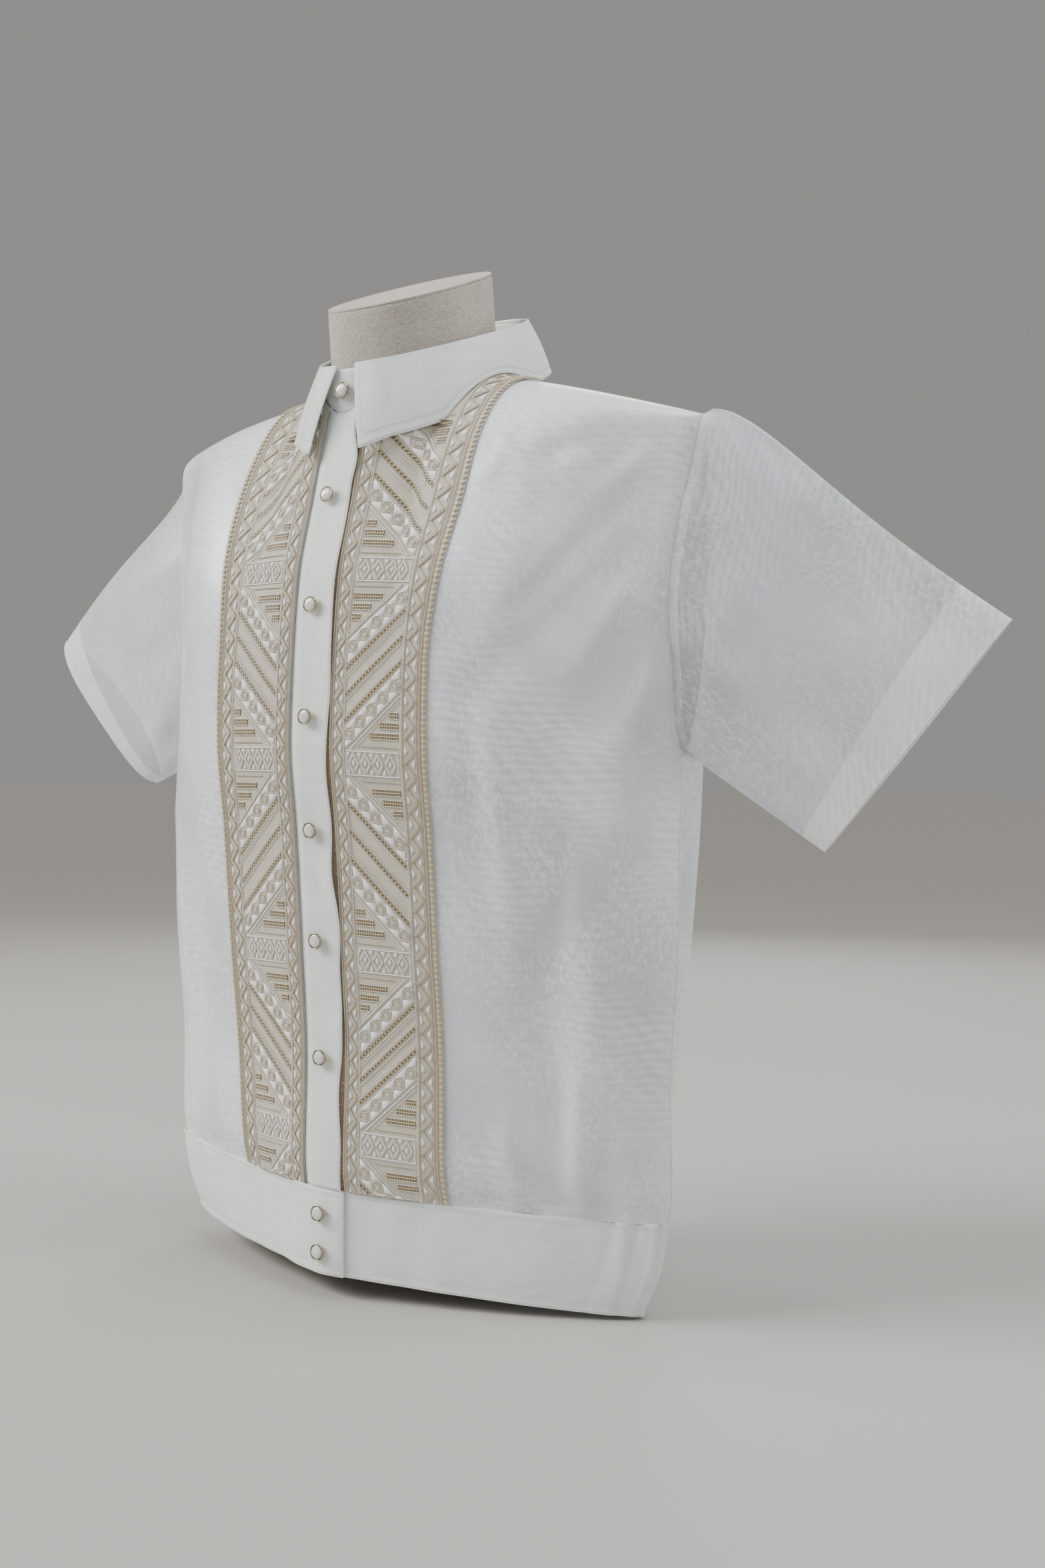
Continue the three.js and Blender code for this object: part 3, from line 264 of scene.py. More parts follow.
def surf(back, a, t):
    """Point of the worn cloth at column a (side columns are edge + 100 * share) and height t: mm up to the underarm, and along the arch above it."""
    a, t = np.broadcast_arrays(np.asarray(a, float), np.asarray(t, float))
    up = t > Z_ARM
    q = share_of_row((t - Z_ARM) / ARCH_LEN)
    z = Z_ARM + (SHOULDER["z"] - Z_ARM) * q
    xi = place(back, a, z)
    for _ in range(3):
        x = xi * body.half(z)
        z = Z_ARM + (body.ridge_z(x) - Z_ARM) * q
        xi = place(back, a, z)
    high = body.at(back, xi, z, q)
    low = body.at(back, place(back, a, np.minimum(t, Z_ARM)), np.minimum(t, Z_ARM))
    return np.where(up[..., None], high, low)


def top_of(back, a):
    x = np.where(np.abs(a) >= (RING["x"] if back else 70), RING["x"] + 1, a if back else np.sign(a) * np.interp(np.abs(a), SPREAD_LOW, SPREAD_HIGH))
    return Z_ARM + ARCH_LEN * top_row(back, x)


def seam_top(back, a):
    """Where the cloth ends under the foot of the stand, a seam's width past the neckline."""
    t = top_of(back, a)
    return np.where(t < Z_ARM + ARCH_LEN - 1, np.minimum(t + 3.6, Z_ARM + ARCH_LEN * 0.9995), t)


def surf_n(back, a, t):
    """The point and the outward normal there."""
    a, t = np.broadcast_arrays(np.asarray(a, float), np.asarray(t, float))
    d = 0.6
    lim = (RING["x"] if back else PANEL_TO) + 99.9
    a1, a0 = np.clip(a + d, -lim, lim), np.clip(a - d, -lim, lim)
    t1, t0 = np.minimum(t + d, Z_ARM + ARCH_LEN * 0.995), np.minimum(t - d, Z_ARM + ARCH_LEN * 0.995 - 2 * d)
    n = unit(np.cross(surf(back, a1, t) - surf(back, a0, t), surf(back, a, t1) - surf(back, a, t0)))
    n = n * (1 if not back else -1) * np.where((n[..., 1] < 0) == (not back), 1, -1)[..., None] * (1 if not back else -1)
    return surf(back, a, t), n


# ------------------------------------------------------------------ mesh helpers
def row(p):
    """Table millimetres to metres in the row's frame."""
    return (np.asarray(p, float) + [0, 0, LIFT]) / 1000.0


def make(name, verts, faces, mat, uv=None, smooth=True, col=None):
    me = bpy.data.meshes.new(name)
    me.from_pydata(np.asarray(verts, float).tolist(), [], [list(map(int, f)) for f in faces])
    me.update()
    if smooth:
        me.polygons.foreach_set("use_smooth", [True] * len(me.polygons))
    if uv is not None:
        layer = me.uv_layers.new(name="UVMap")
        idx = np.zeros(len(me.loops), int)
        me.loops.foreach_get("vertex_index", idx)
        layer.data.foreach_set("uv", np.asarray(uv, float)[idx].ravel())
    if col is not None:
        at = me.attributes.new("mark", "FLOAT", "POINT")
        at.data.foreach_set("value", np.asarray(col, np.float32))
    ob = bpy.data.objects.new(name, me)
    bpy.context.scene.collection.objects.link(ob)
    for m in (mat if isinstance(mat, (list, tuple)) else [mat]):
        me.materials.append(m)
    return ob


def grid_faces(n, m, wrap=False, base=0):
    i, j = np.meshgrid(np.arange(n if wrap else n - 1), np.arange(m - 1), indexing="ij")
    i, j = i.ravel(), j.ravel()
    i2 = (i + 1) % n
    return np.stack([i * m + j, i2 * m + j, i2 * m + j + 1, i * m + j + 1], -1) + base


def grid_normals(g, wrap=False):
    du = np.roll(g, -1, 0) - np.roll(g, 1, 0)
    if not wrap:
        du[0], du[-1] = g[1] - g[0], g[-1] - g[-2]
    dv = np.gradient(g, axis=1)
    return unit(np.cross(du, dv))


def lengths(g):
    """Arc lengths across and along a grid, in metres: the cloth's own coordinates."""
    u = np.concatenate([np.zeros((1, g.shape[1])), np.cumsum(np.linalg.norm(np.diff(g, axis=0), axis=2), 0)], 0)
    v = np.concatenate([np.zeros((g.shape[0], 1)), np.cumsum(np.linalg.norm(np.diff(g, axis=1), axis=2), 1)], 1)
    return np.stack([u, v], -1) / 1000.0


def area_of(g):
    d = np.cross(g[1:, :-1] - g[:-1, :-1], g[:-1, 1:] - g[:-1, :-1])
    return float(np.linalg.norm(d, axis=-1).sum()) / 1e6


def wall(out, inn, wrap=False):
    """Vertices and faces of a closed wall between two matching grids."""
    n, m = out.shape[:2]
    v = np.concatenate([out.reshape(-1, 3), inn.reshape(-1, 3)])
    k = n * m
    f = [grid_faces(n, m, wrap), grid_faces(n, m, wrap, k)[:, ::-1]]
    i = np.arange(n if wrap else n - 1)
    i2 = (i + 1) % n
    f.append(np.stack([i * m, k + i * m, k + i2 * m, i2 * m], -1))
    f.append(np.stack([i * m + m - 1, i2 * m + m - 1, k + i2 * m + m - 1, k + i * m + m - 1], -1))
    if not wrap:
        j = np.arange(m - 1)
        f.append(np.stack([j, j + 1, k + j + 1, k + j], -1))
        b = (n - 1) * m
        f.append(np.stack([b + j, k + b + j, k + b + j + 1, b + j + 1], -1))
    return v, np.concatenate(f)


class Bag:
    """Collects many small shapes into one mesh."""

    def __init__(self):
        self.v, self.f, self.n = [], [], 0

    def add(self, v, f):
        v = np.asarray(v, float).reshape(-1, 3)
        self.v.append(v)
        n = self.n
        self.f.extend([int(i) + n for i in q] for q in f)
        self.n += len(v)

    def tube(self, p, nrm, r, sides=5, flat=1.0, closed=False):
        """A cord of radius r along p, lying on a surface with normals nrm."""
        p, nrm = np.asarray(p, float), np.asarray(nrm, float)
        k = len(p)
        if k < 2:
            return
        t = np.roll(p, -1, 0) - np.roll(p, 1, 0)
        if not closed:
            t[0], t[-1] = p[1] - p[0], p[-1] - p[-2]
        t = unit(t)
        b = unit(np.cross(t, nrm))
        nn = np.cross(b, t)
        ang = np.arange(sides) / sides * 2 * np.pi + np.pi / sides
        r = np.broadcast_to(np.asarray(r, float), (k,))[:, None, None]
        v = p[:, None] + r * (np.cos(ang)[None, :, None] * b[:, None] + flat * np.sin(ang)[None, :, None] * nn[:, None])
        f = []
        kk = k if closed else k - 1
        for i in range(kk):
            i2 = (i + 1) % k
            for s in range(sides):
                s2 = (s + 1) % sides
                f.append((i * sides + s, i2 * sides + s, i2 * sides + s2, i * sides + s2))
        if not closed:
            f.append(tuple(range(sides))[::-1])
            f.append(tuple((k - 1) * sides + s for s in range(sides)))
        self.add(v, f)

    def make(self, name, mat, slot=None, smooth=True):
        if not self.v:
            return None
        ob = make(name, row(np.concatenate(self.v)), self.f, mat, smooth=smooth)
        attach(ob, "root")
        return ob


def stitch_line(bag, p, nrm, pitch=2.6, long=1.8, r=0.2, lift=0.12):
    """Even stitches along a line on the cloth."""
    p, nrm = np.asarray(p, float), np.asarray(nrm, float)
    s = np.concatenate([[0], np.cumsum(np.linalg.norm(np.diff(p, axis=0), axis=1))])
    n = int(s[-1] / pitch)
    for k in range(n):
        c = (k + 0.5) * pitch
        at = np.array([c - long / 2, c, c + long / 2])
        q = np.stack([np.interp(at, s, p[:, i]) for i in range(3)], -1)
        m = unit(np.stack([np.interp(at, s, nrm[:, i]) for i in range(3)], -1))
        q = q + m * np.array([[-0.1], [lift], [-0.1]])
        bag.tube(q, m, r, sides=4, flat=0.8)


# ------------------------------------------------------------------ materials
def material(name, color, rough=0.5, metal=0.0, sheen=0.0, spec=0.5, subsurf=0.0, sheen_tint=None, coat=0.0):
    m = bpy.data.materials.new(name)
    m.use_nodes = True
    b = m.node_tree.nodes["Principled BSDF"]
    b.inputs["Base Color"].default_value = (*color, 1)
    b.inputs["Roughness"].default_value = rough
    b.inputs["Metallic"].default_value = metal
    b.inputs["Specular IOR Level"].default_value = spec
    if sheen:
        b.inputs["Sheen Weight"].default_value = sheen
        b.inputs["Sheen Roughness"].default_value = 0.35
        if sheen_tint:
            b.inputs["Sheen Tint"].default_value = (*sheen_tint, 1)
    if coat:
        b.inputs["Coat Weight"].default_value = coat
    return m, m.node_tree, b


def node(t, kind, **kw):
    n = t.nodes.new(kind)
    for k, v in kw.items():
        if k in n.inputs:
            n.inputs[k].default_value = v
        else:
            setattr(n, k, v)
    return n


def link(t, a, b):
    t.links.new(a, b)


def math_node(t, op, a, b=None, clamp=False):
    n = t.nodes.new("ShaderNodeMath")
    n.operation = op
    n.use_clamp = clamp
    for i, v in enumerate((a, b)):
        if v is None:
            continue
        if isinstance(v, (int, float)):
            n.inputs[i].default_value = v
        else:
            link(t, v, n.inputs[i])
    return n.outputs[0]


def uv_mm(t, su=1000.0, sv=1000.0):
    uv = t.nodes.new("ShaderNodeTexCoord")
    mp = t.nodes.new("ShaderNodeMapping")
    mp.inputs["Scale"].default_value = (su, sv, 1)
    link(t, uv.outputs["UV"], mp.inputs["Vector"])
    return mp.outputs["Vector"]


def obj_mm(t, s=(1000.0, 1000.0, 1000.0)):
    tc = t.nodes.new("ShaderNodeTexCoord")
    mp = t.nodes.new("ShaderNodeMapping")
    mp.inputs["Scale"].default_value = s
    link(t, tc.outputs["Object"], mp.inputs["Vector"])
    return mp.outputs["Vector"]


def noise(t, vec, scale, detail=2.0, rough=0.5, distort=0.0):
    n = t.nodes.new("ShaderNodeTexNoise")
    n.inputs["Scale"].default_value = scale
    n.inputs["Detail"].default_value = detail
    n.inputs["Roughness"].default_value = rough
    n.inputs["Distortion"].default_value = distort
    link(t, vec, n.inputs["Vector"])
    return n.outputs["Fac"]


def wave(t, vec, scale, axis="X", distort=0.0, detail=0.0, dscale=1.0):
    n = t.nodes.new("ShaderNodeTexWave")
    n.bands_direction = axis
    n.inputs["Scale"].default_value = scale
    n.inputs["Distortion"].default_value = distort
    n.inputs["Detail"].default_value = detail
    n.inputs["Detail Scale"].default_value = dscale
    link(t, vec, n.inputs["Vector"])
    return n.outputs["Fac"]


def ramp(t, fac, stops):
    n = t.nodes.new("ShaderNodeValToRGB")
    e = n.color_ramp.elements
    while len(e) > len(stops):
        e.remove(e[-1])
    while len(e) < len(stops):
        e.new(0.5)
    for k, (p, c) in enumerate(stops):
        e[k].position = p
        e[k].color = (*c, 1) if len(c) == 3 else c
    link(t, fac, n.inputs["Fac"])
    return n.outputs["Color"]


def bump(t, b, height, strength, dist):
    n = t.nodes.new("ShaderNodeBump")
    n.inputs["Strength"].default_value = strength
    n.inputs["Distance"].default_value = dist
    link(t, height, n.inputs["Height"])
    link(t, n.outputs["Normal"], b.inputs["Normal"])


def mixc(t, fac, a, b):
    n = t.nodes.new("ShaderNodeMix")
    n.data_type = "RGBA"
    if isinstance(fac, (int, float)):
        n.inputs[0].default_value = fac
    else:
        link(t, fac, n.inputs[0])
    for i, v in ((6, a), (7, b)):
        if isinstance(v, tuple):
            n.inputs[i].default_value = (*v, 1)
        else:
            link(t, v, n.inputs[i])
    return n.outputs[2]


def organza(name, tint, alpha_lo, alpha_hi, moire=1.0):
    m, t, b = material(name, tint, rough=0.42, sheen=0.5, spec=0.5)
    uv = uv_mm(t)
    # warp and weft slubs, a beat between two layers, and fine glints; the glints and the larger flashes are painted
    # highlights, white mixed into the colour
    slub = noise(t, uv_mm(t, 60, 900), 1.0, 3, 0.6)
    slub2 = noise(t, uv_mm(t, 900, 45), 1.0, 3, 0.6)
    beat = wave(t, uv, 0.052, "Y", distort=9.0 * moire, detail=2.0, dscale=0.35)
    beat2 = wave(t, uv, 0.034, "DIAGONAL", distort=12.0 * moire, detail=2.0, dscale=0.22)
    glint = noise(t, uv_mm(t, 700, 1100), 1.0, 1, 0.5)
    h = math_node(t, "ADD", math_node(t, "MULTIPLY", slub, 0.5), math_node(t, "MULTIPLY", slub2, 0.35))
    cloud = noise(t, uv_mm(t, 14, 14), 1.0, 3, 0.55)
    wide = noise(t, uv_mm(t, 7, 4.5), 1.0, 2, 0.5, 0.6)
    patchy = ramp(t, noise(t, uv_mm(t, 11, 8), 1.0, 2, 0.5, 0.8), [(0.42, (0.06, 0.06, 0.06)), (0.62, (1, 1, 1))])
    lines = math_node(t, "MULTIPLY", math_node(t, "ADD", math_node(t, "MULTIPLY", beat, 0.5), math_node(t, "MULTIPLY", beat2, 0.3)), patchy)
    shade = math_node(t, "ADD", math_node(t, "MULTIPLY", lines, 0.22), math_node(t, "ADD", math_node(t, "MULTIPLY", cloud, 0.35), math_node(t, "MULTIPLY", wide, 0.5)))
    hi = tuple(min(1, c * 1.14) for c in tint)
    lo = tuple(c * 0.78 for c in tint)
    col = ramp(t, shade, [(0.33, lo), (0.50, tint), (0.66, hi)])
    # painted highlight: small white glint flecks mixed into the base colour
    painted_sparkle = ramp(t, glint, [(0.60, (0, 0, 0)), (0.72, (1, 1, 1))])
    col = mixc(t, math_node(t, "MULTIPLY", painted_sparkle, 0.55), col, (1.0, 1.0, 1.0))
    # painted highlight: larger white flashes, in patches, mixed into the base colour
    painted_flash = ramp(t, noise(t, uv_mm(t, 330, 170), 1.0, 3, 0.75), [(0.47, (0, 0, 0)), (0.62, (1, 1, 1))])
    painted_flash_zone = ramp(t, noise(t, uv_mm(t, 13, 9), 1.0, 2, 0.6, 0.5), [(0.37, (0, 0, 0)), (0.57, (1, 1, 1))])
    col = mixc(t, math_node(t, "MULTIPLY", math_node(t, "MULTIPLY", painted_flash, painted_flash_zone), 0.75), col, (1.0, 1.0, 1.0))
    link(t, col, b.inputs["Base Color"])
    a = math_node(t, "ADD", math_node(t, "MULTIPLY", math_node(t, "ADD", h, math_node(t, "MULTIPLY", lines, 0.3)), alpha_hi - alpha_lo), alpha_lo, True)
    link(t, a, b.inputs["Alpha"])
    link(t, ramp(t, glint, [(0.3, (0.46, 0.46, 0.46)), (0.7, (0.2, 0.2, 0.2))]), b.inputs["Roughness"])
    bump(t, b, math_node(t, "ADD", h, math_node(t, "MULTIPLY", lines, 0.07)), 0.25, 0.0004)
    return m


def satin(name, tint, fine=1.0):
    m, t, b = material(name, tint, rough=0.5, sheen=0.25, spec=0.35)
    weave = wave(t, uv_mm(t), 2.4 * fine, "X", distort=1.5, detail=1)
    weft = wave(t, uv_mm(t), 2.1 * fine, "Y", distort=1.5, detail=1)
    slub = noise(t, uv_mm(t, 40, 900), 1.0, 3, 0.6)
    cloud = noise(t, uv_mm(t, 45, 60), 1.0, 3, 0.6)
    col = ramp(t, math_node(t, "ADD", math_node(t, "MULTIPLY", cloud, 0.65), math_node(t, "MULTIPLY", slub, 0.35)),
               [(0.3, tuple(c * 0.9 for c in tint)), (0.55, tint), (0.75, tuple(min(1, c * 1.07) for c in tint))])
    # painted highlight: white glint flecks mixed into the satin's colour
    glint = ramp(t, noise(t, uv_mm(t, 520, 640), 1.0, 2, 0.6), [(0.56, (0, 0, 0)), (0.70, (1, 1, 1))])
    col = mixc(t, math_node(t, "MULTIPLY", glint, 0.6), col, (1.0, 1.0, 1.0))
    link(t, col, b.inputs["Base Color"])
    h = math_node(t, "ADD", math_node(t, "MULTIPLY", math_node(t, "ADD", weave, weft), 0.25), slub)
    bump(t, b, h, 0.3, 0.0003)
    return m


def thread(name, tint, rough=0.5, spread=0.12):
    m, t, b = material(name, tint, rough=rough, sheen=0.3, spec=0.4)
    v = obj_mm(t)
    n = noise(t, v, 0.9, 2, 0.6)
    ply = wave(t, v, 1.6, "DIAGONAL", distort=1.0, detail=1)
    col = ramp(t, math_node(t, "ADD", math_node(t, "MULTIPLY", n, 0.6), math_node(t, "MULTIPLY", ply, 0.4)),
               [(0.25, tuple(c * (1 - 2 * spread) for c in tint)), (0.55, tint), (0.8, tuple(min(1, c * (1 + spread)) for c in tint))])
    link(t, col, b.inputs["Base Color"])
    bump(t, b, ply, 0.35, 0.0002)
    return m


def lace_ground(name, tint, hole_shade):
    """The net between the cords: close square threads with small openings, darker in the colour as painted shade seen
    through them, mixed with a random mottle.
    """
    m, t, b = material(name, tint, rough=0.6, sheen=0.2, spec=0.3)
    uv = uv_mm(t)
    wx, wy = wave(t, uv, 0.42, "X", 0.6, 1), wave(t, uv, 0.42, "Y", 0.6, 1)
    holes = math_node(t, "MULTIPLY", wx, wy)
    mottled = noise(t, uv_mm(t, 110, 110), 1.0, 3, 0.6)
    f = math_node(t, "ADD", math_node(t, "MULTIPLY", holes, 0.55), math_node(t, "MULTIPLY", mottled, 0.55))
    # darker at the openings: painted shade of the holes; the mottle is random tone
    col = ramp(t, f, [(0.28, tuple(min(1, c * 1.1) for c in tint)), (0.5, tint), (0.78, hole_shade)])
    link(t, col, b.inputs["Base Color"])
    bump(t, b, math_node(t, "SUBTRACT", 1.0, f), 0.5, 0.0005)
    link(t, math_node(t, "SUBTRACT", 1.0, math_node(t, "MULTIPLY", holes, 0.12)), b.inputs["Alpha"])
    return m


def linen(name):
    m, t, b = material(name, (0.42, 0.37, 0.31), rough=0.85, sheen=0.25, spec=0.2)
    twill = wave(t, obj_mm(t, (620, 620, 620)), 1.0, "DIAGONAL", distort=2.0, detail=2)
    fleck = noise(t, obj_mm(t, (380, 380, 1400)), 1.0, 3, 0.7)
    cloud = noise(t, obj_mm(t, (30, 30, 30)), 1.0, 3, 0.6)
    f = math_node(t, "ADD", math_node(t, "MULTIPLY", twill, 0.3), math_node(t, "ADD", math_node(t, "MULTIPLY", fleck, 0.6), math_node(t, "MULTIPLY", cloud, 0.15)))
    link(t, ramp(t, f, [(0.34, (0.22, 0.185, 0.15)), (0.52, (0.46, 0.42, 0.36)), (0.70, (0.70, 0.66, 0.60))]), b.inputs["Base Color"])
    bump(t, b, f, 0.6, 0.0006)
    return m


M_BODY = organza("organza_body", (0.775, 0.83, 0.88), 0.82, 1.0)
M_BACK = organza("organza_back", (0.78, 0.83, 0.88), 0.84, 1.0)
# the sleeve's organza is tinted darker than the body's: painted shade of the inside seen through the sheer sleeve,
# besides its real sheerness
M_SLEEVE = organza("organza_sleeve", (0.70, 0.765, 0.825), 0.48, 0.80, 1.0)
M_HEM = organza("organza_hem", (0.87, 0.88, 0.86), 0.78, 1.0, 0.6)
M_IVORY = satin("satin_ivory", (0.82, 0.87, 0.83))
M_BAND = satin("satin_band", (0.81, 0.845, 0.82))
M_COLLAR = satin("satin_collar", (0.765, 0.815, 0.805))
# dark brown for the under placket and buttonhole slits: painted shade of the gap under the top placket and inside the
# slits
M_UNDER_SHADE = satin("satin_under_painted_shade", (0.42, 0.31, 0.20))
M_GROUND = lace_ground("lace_ground", (0.60, 0.56, 0.47), (0.34, 0.285, 0.21))
M_CORD = thread("thread_beige", (0.60, 0.52, 0.39), 0.45, 0.2)
M_GOLD = thread("thread_champagne", (0.66, 0.56, 0.38), 0.32, 0.2)
M_WHITE = thread("thread_white", (0.97, 0.97, 0.96), 0.38, 0.05)
M_PALE = thread("thread_ivory", (0.86, 0.83, 0.77), 0.42, 0.08)
# very dark brown for patches that stand for openings: painted shade seen through the holes
M_HOLE_SHADE = lace_ground("open_net_painted_shade", (0.20, 0.145, 0.08), (0.09, 0.06, 0.03))
M_FIELD = lace_ground("lace_field", (0.70, 0.66, 0.60), (0.48, 0.42, 0.36))
M_STITCH = thread("stitch_ivory", (0.72, 0.72, 0.70), 0.5, 0.05)
M_SEAM = satin("seam_allowance", (0.90, 0.92, 0.93))
M_LINEN = linen("linen_twill")


def pearl_material():
    m, t, b = material("pearl", (0.84, 0.84, 0.83), rough=0.16, spec=0.6, coat=0.6)
    n = noise(t, obj_mm(t, (160, 160, 160)), 1.0, 3, 0.6, 1.5)
    link(t, ramp(t, n, [(0.3, (0.60, 0.61, 0.62)), (0.5, (0.72, 0.72, 0.70)), (0.72, (0.80, 0.76, 0.71))]), b.inputs["Base Color"])
    return m


def metal_material():
    m, t, b = material("pale_gilt", (0.80, 0.74, 0.58), rough=0.22, metal=1.0)
    n = noise(t, obj_mm(t, (900, 900, 900)), 1.0, 2, 0.5)
    link(t, ramp(t, n, [(0.3, (0.30, 0.24, 0.13)), (0.7, (0.56, 0.49, 0.34))]), b.inputs["Base Color"])
    link(t, ramp(t, n, [(0.3, (0.16, 0.16, 0.16)), (0.8, (0.34, 0.34, 0.34))]), b.inputs["Roughness"])
    return m


M_PEARL, M_METAL = pearl_material(), metal_material()

# ------------------------------------------------------------------ fronts and back
STEP = 1


def cloth_grid(back, cols, low_n=96, up_n=88):
    """Columns of the body from the waistband seam to the neckline or shoulder line."""
    cols = np.asarray(cols, float)
    top = seam_top(back, cols)
    lows = np.linspace(Z_SEAM, Z_ARM, low_n // STEP)
    ups = np.linspace(0, 1, up_n // STEP + 1)[1:]
    t = np.concatenate([np.broadcast_to(lows, (len(cols), len(lows))), Z_ARM + (top[:, None] - Z_ARM) * ups[None]], 1)
    return surf(back, np.broadcast_to(cols[:, None], t.shape), t), t


def cloth(name, node_name, back, cols, mat):
    g, t = cloth_grid(back, cols)
    uv = lengths(g)
    uv[..., 1] = uv[..., 1] + 0.057
    uv[..., 0] += 0.31 if back else (0.0 if cols[-1] > 0 else 0.57)
    faces = grid_faces(*g.shape[:2])
    n = grid_normals(g)
    mid = n[len(n) // 2, n.shape[1] // 3]
    if (mid[1] > 0) != back:
        faces = faces[:, ::-1]
    ob = make(name, row(g.reshape(-1, 3)), faces, mat, uv.reshape(-1, 2))
    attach(ob, "root")
    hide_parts(node_name)
    lo, hi = g.reshape(-1, 3).min(0), g.reshape(-1, 3).max(0)
    return ob, g


side_w = np.linspace(0, 100, 44 // STEP)[1:]
front_cols = np.concatenate([np.linspace(18.15, PANEL_TO, 26 // STEP), PANEL_TO + side_w])
back_half = np.concatenate([np.linspace(0, 66, 14 // STEP), [68, 70, 71.2, 72], RING["x"] + np.linspace(0, 100, 44 // STEP)[1:]])
back_cols = np.concatenate([-back_half[::-1], back_half[1:]])
ob_fl, g_fl = cloth("front_left_organza", "front_left", False, front_cols, M_BODY)
ob_fr, g_fr = cloth("front_right_organza", "front_right", False, -front_cols, M_BODY)
ob_bk, g_bk = cloth("back_organza", "back", True, back_cols, M_BACK)


# ------------------------------------------------------------------ sleeves
SLEEVE_CREASES = {
    # angle round the tube (0 underarm, 1 shoulder), start and end along it, width, depth, front or back
    "left": [(0.86, 0.0, 0.55, 0.05, -2.2, 0), (0.74, 0.0, 0.5, 0.05, 1.6, 0), (0.62, 0.05, 0.75, 0.06, -1.8, 0), (0.48, 0.0, 0.7, 0.06, 1.7, 0),
             (0.34, 0.02, 0.6, 0.05, -2.0, 0), (0.2, 0.0, 0.8, 0.05, 1.6, 0), (0.93, 0.0, 0.3, 0.03, 1.6, 0), (0.8, 0.0, 0.6, 0.06, -2.0, 1),
             (0.6, 0.0, 0.8, 0.07, 2.0, 1), (0.4, 0.0, 0.7, 0.06, -1.8, 1), (0.24, 0.0, 0.6, 0.06, 1.5, 1), (0.55, 0.55, 1.0, 0.05, 1.3, 0), (0.3, 0.5, 1.0, 0.05, -1.4, 0)],
    "right": [(0.84, 0.0, 0.6, 0.05, -2.4, 0), (0.66, 0.0, 0.8, 0.07, 2.0, 0), (0.5, 0.0, 0.6, 0.06, -2.2, 0), (0.3, 0.0, 0.7, 0.07, 2.4, 0),
              (0.16, 0.0, 0.9, 0.06, -2.0, 0), (0.7, 0.0, 0.8, 0.07, -2.2, 1), (0.45, 0.0, 0.7, 0.07, 2.0, 1), (0.25, 0.0, 0.8, 0.06, -1.8, 1)]}


def sleeve_grid(side, turn_n=84, along_n=64):
    spec, sign = SLEEVES[side], 1 if side == "left" else -1
    w = np.linspace(0, 1, turn_n // 2 + 1)
    t = Z_ARM + ARCH_LEN * w
    front = surf(False, np.full_like(t, sign * (PANEL_TO + 100)), t)
    back = surf(True, np.full_like(t, sign * (RING["x"] + 100)), t)
    loop = np.concatenate([front, back[1:-1][::-1]])
    is_back = np.concatenate([np.zeros(len(front)), np.ones(len(back) - 2)])
    top, low = np.array(spec["top"], float), np.array(spec["low"], float)
    along = unit(top - low)
    shoulder, pit = front[-1], front[0]
    axis = unit((top + low) / 2 - (shoulder + pit) / 2)
    thick = unit(np.cross(axis, along))
    if thick[1] > 0:
        thick = -thick
    ridge = unit(top - shoulder)
    head = unit(np.array([-ridge[2] * ridge[0], -ridge[2] * ridge[1], 1 - ridge[2] ** 2]))
    S = np.clip((loop[:, 2] - pit[2]) / (shoulder[2] - pit[2]), 0, 1)
    turn = np.arccos(np.clip(1 - 2 * S, -1, 1))
    across = np.sin(turn) * np.where(is_back > 0, -1, 1)
    hem = low + (top - low) * ((1 - np.cos(turn)) / 2)[:, None] + thick * (spec["thick"] * across)[:, None]
    s = np.linspace(0, 1, along_n)
    g = loop[:, None] + (hem - loop)[:, None] * s[None, :, None]
    up = S ** 3
    g = g + head * (spec["cap"] * up[:, None] * (np.sin(np.pi * np.sqrt(s)) * (1 - s) ** 1.5)[None])[..., None]
    g = g + np.array([0, 0, 1.0]) * (-spec["sag"] * ((1 - S) ** 3)[:, None] * np.sin(np.pi * s ** 0.8)[None])[..., None]
    g = g + thick * (spec["belly"] * across[:, None] * np.sin(np.pi * s ** 0.9)[None])[..., None]
    # folds running out from the armhole, and a slow wave in the hem
    for at, s0, s1, wide, deep, bk in SLEEVE_CREASES[side]:
        v = turn / np.pi
        lane = at + 0.06 * np.sin(s * 3 + at * 9)
        off = (v[:, None] - lane[None]) / wide
        bell = np.sin(np.pi * np.clip((s - s0) / (s1 - s0), 0, 1)) ** 0.8 if s1 < 1 else sm((s - s0) / 0.3)
        g = g + thick * ((1 if not bk else -1) * np.where(is_back == bk, 1, 0)[:, None] * 1.7 * deep * np.exp(-off ** 2) * bell[None] * np.sin(turn)[:, None] ** 0.5)[..., None]
    g = g + thick * (1.6 * np.sin(turn * 3.0 + 0.6)[:, None] * sm((s - 0.55) / 0.45)[None] * np.sin(turn)[:, None])[..., None]
    # small gathers where the cap meets the armhole
    g = g + thick * (0.7 * np.sin(turn * 46)[:, None] * (np.exp(-(s - 0.03) ** 2 / 0.0012)) [None] * (S ** 2)[:, None] * np.where(is_back > 0, -1, 1)[:, None])[..., None]
    return g, turn, is_back


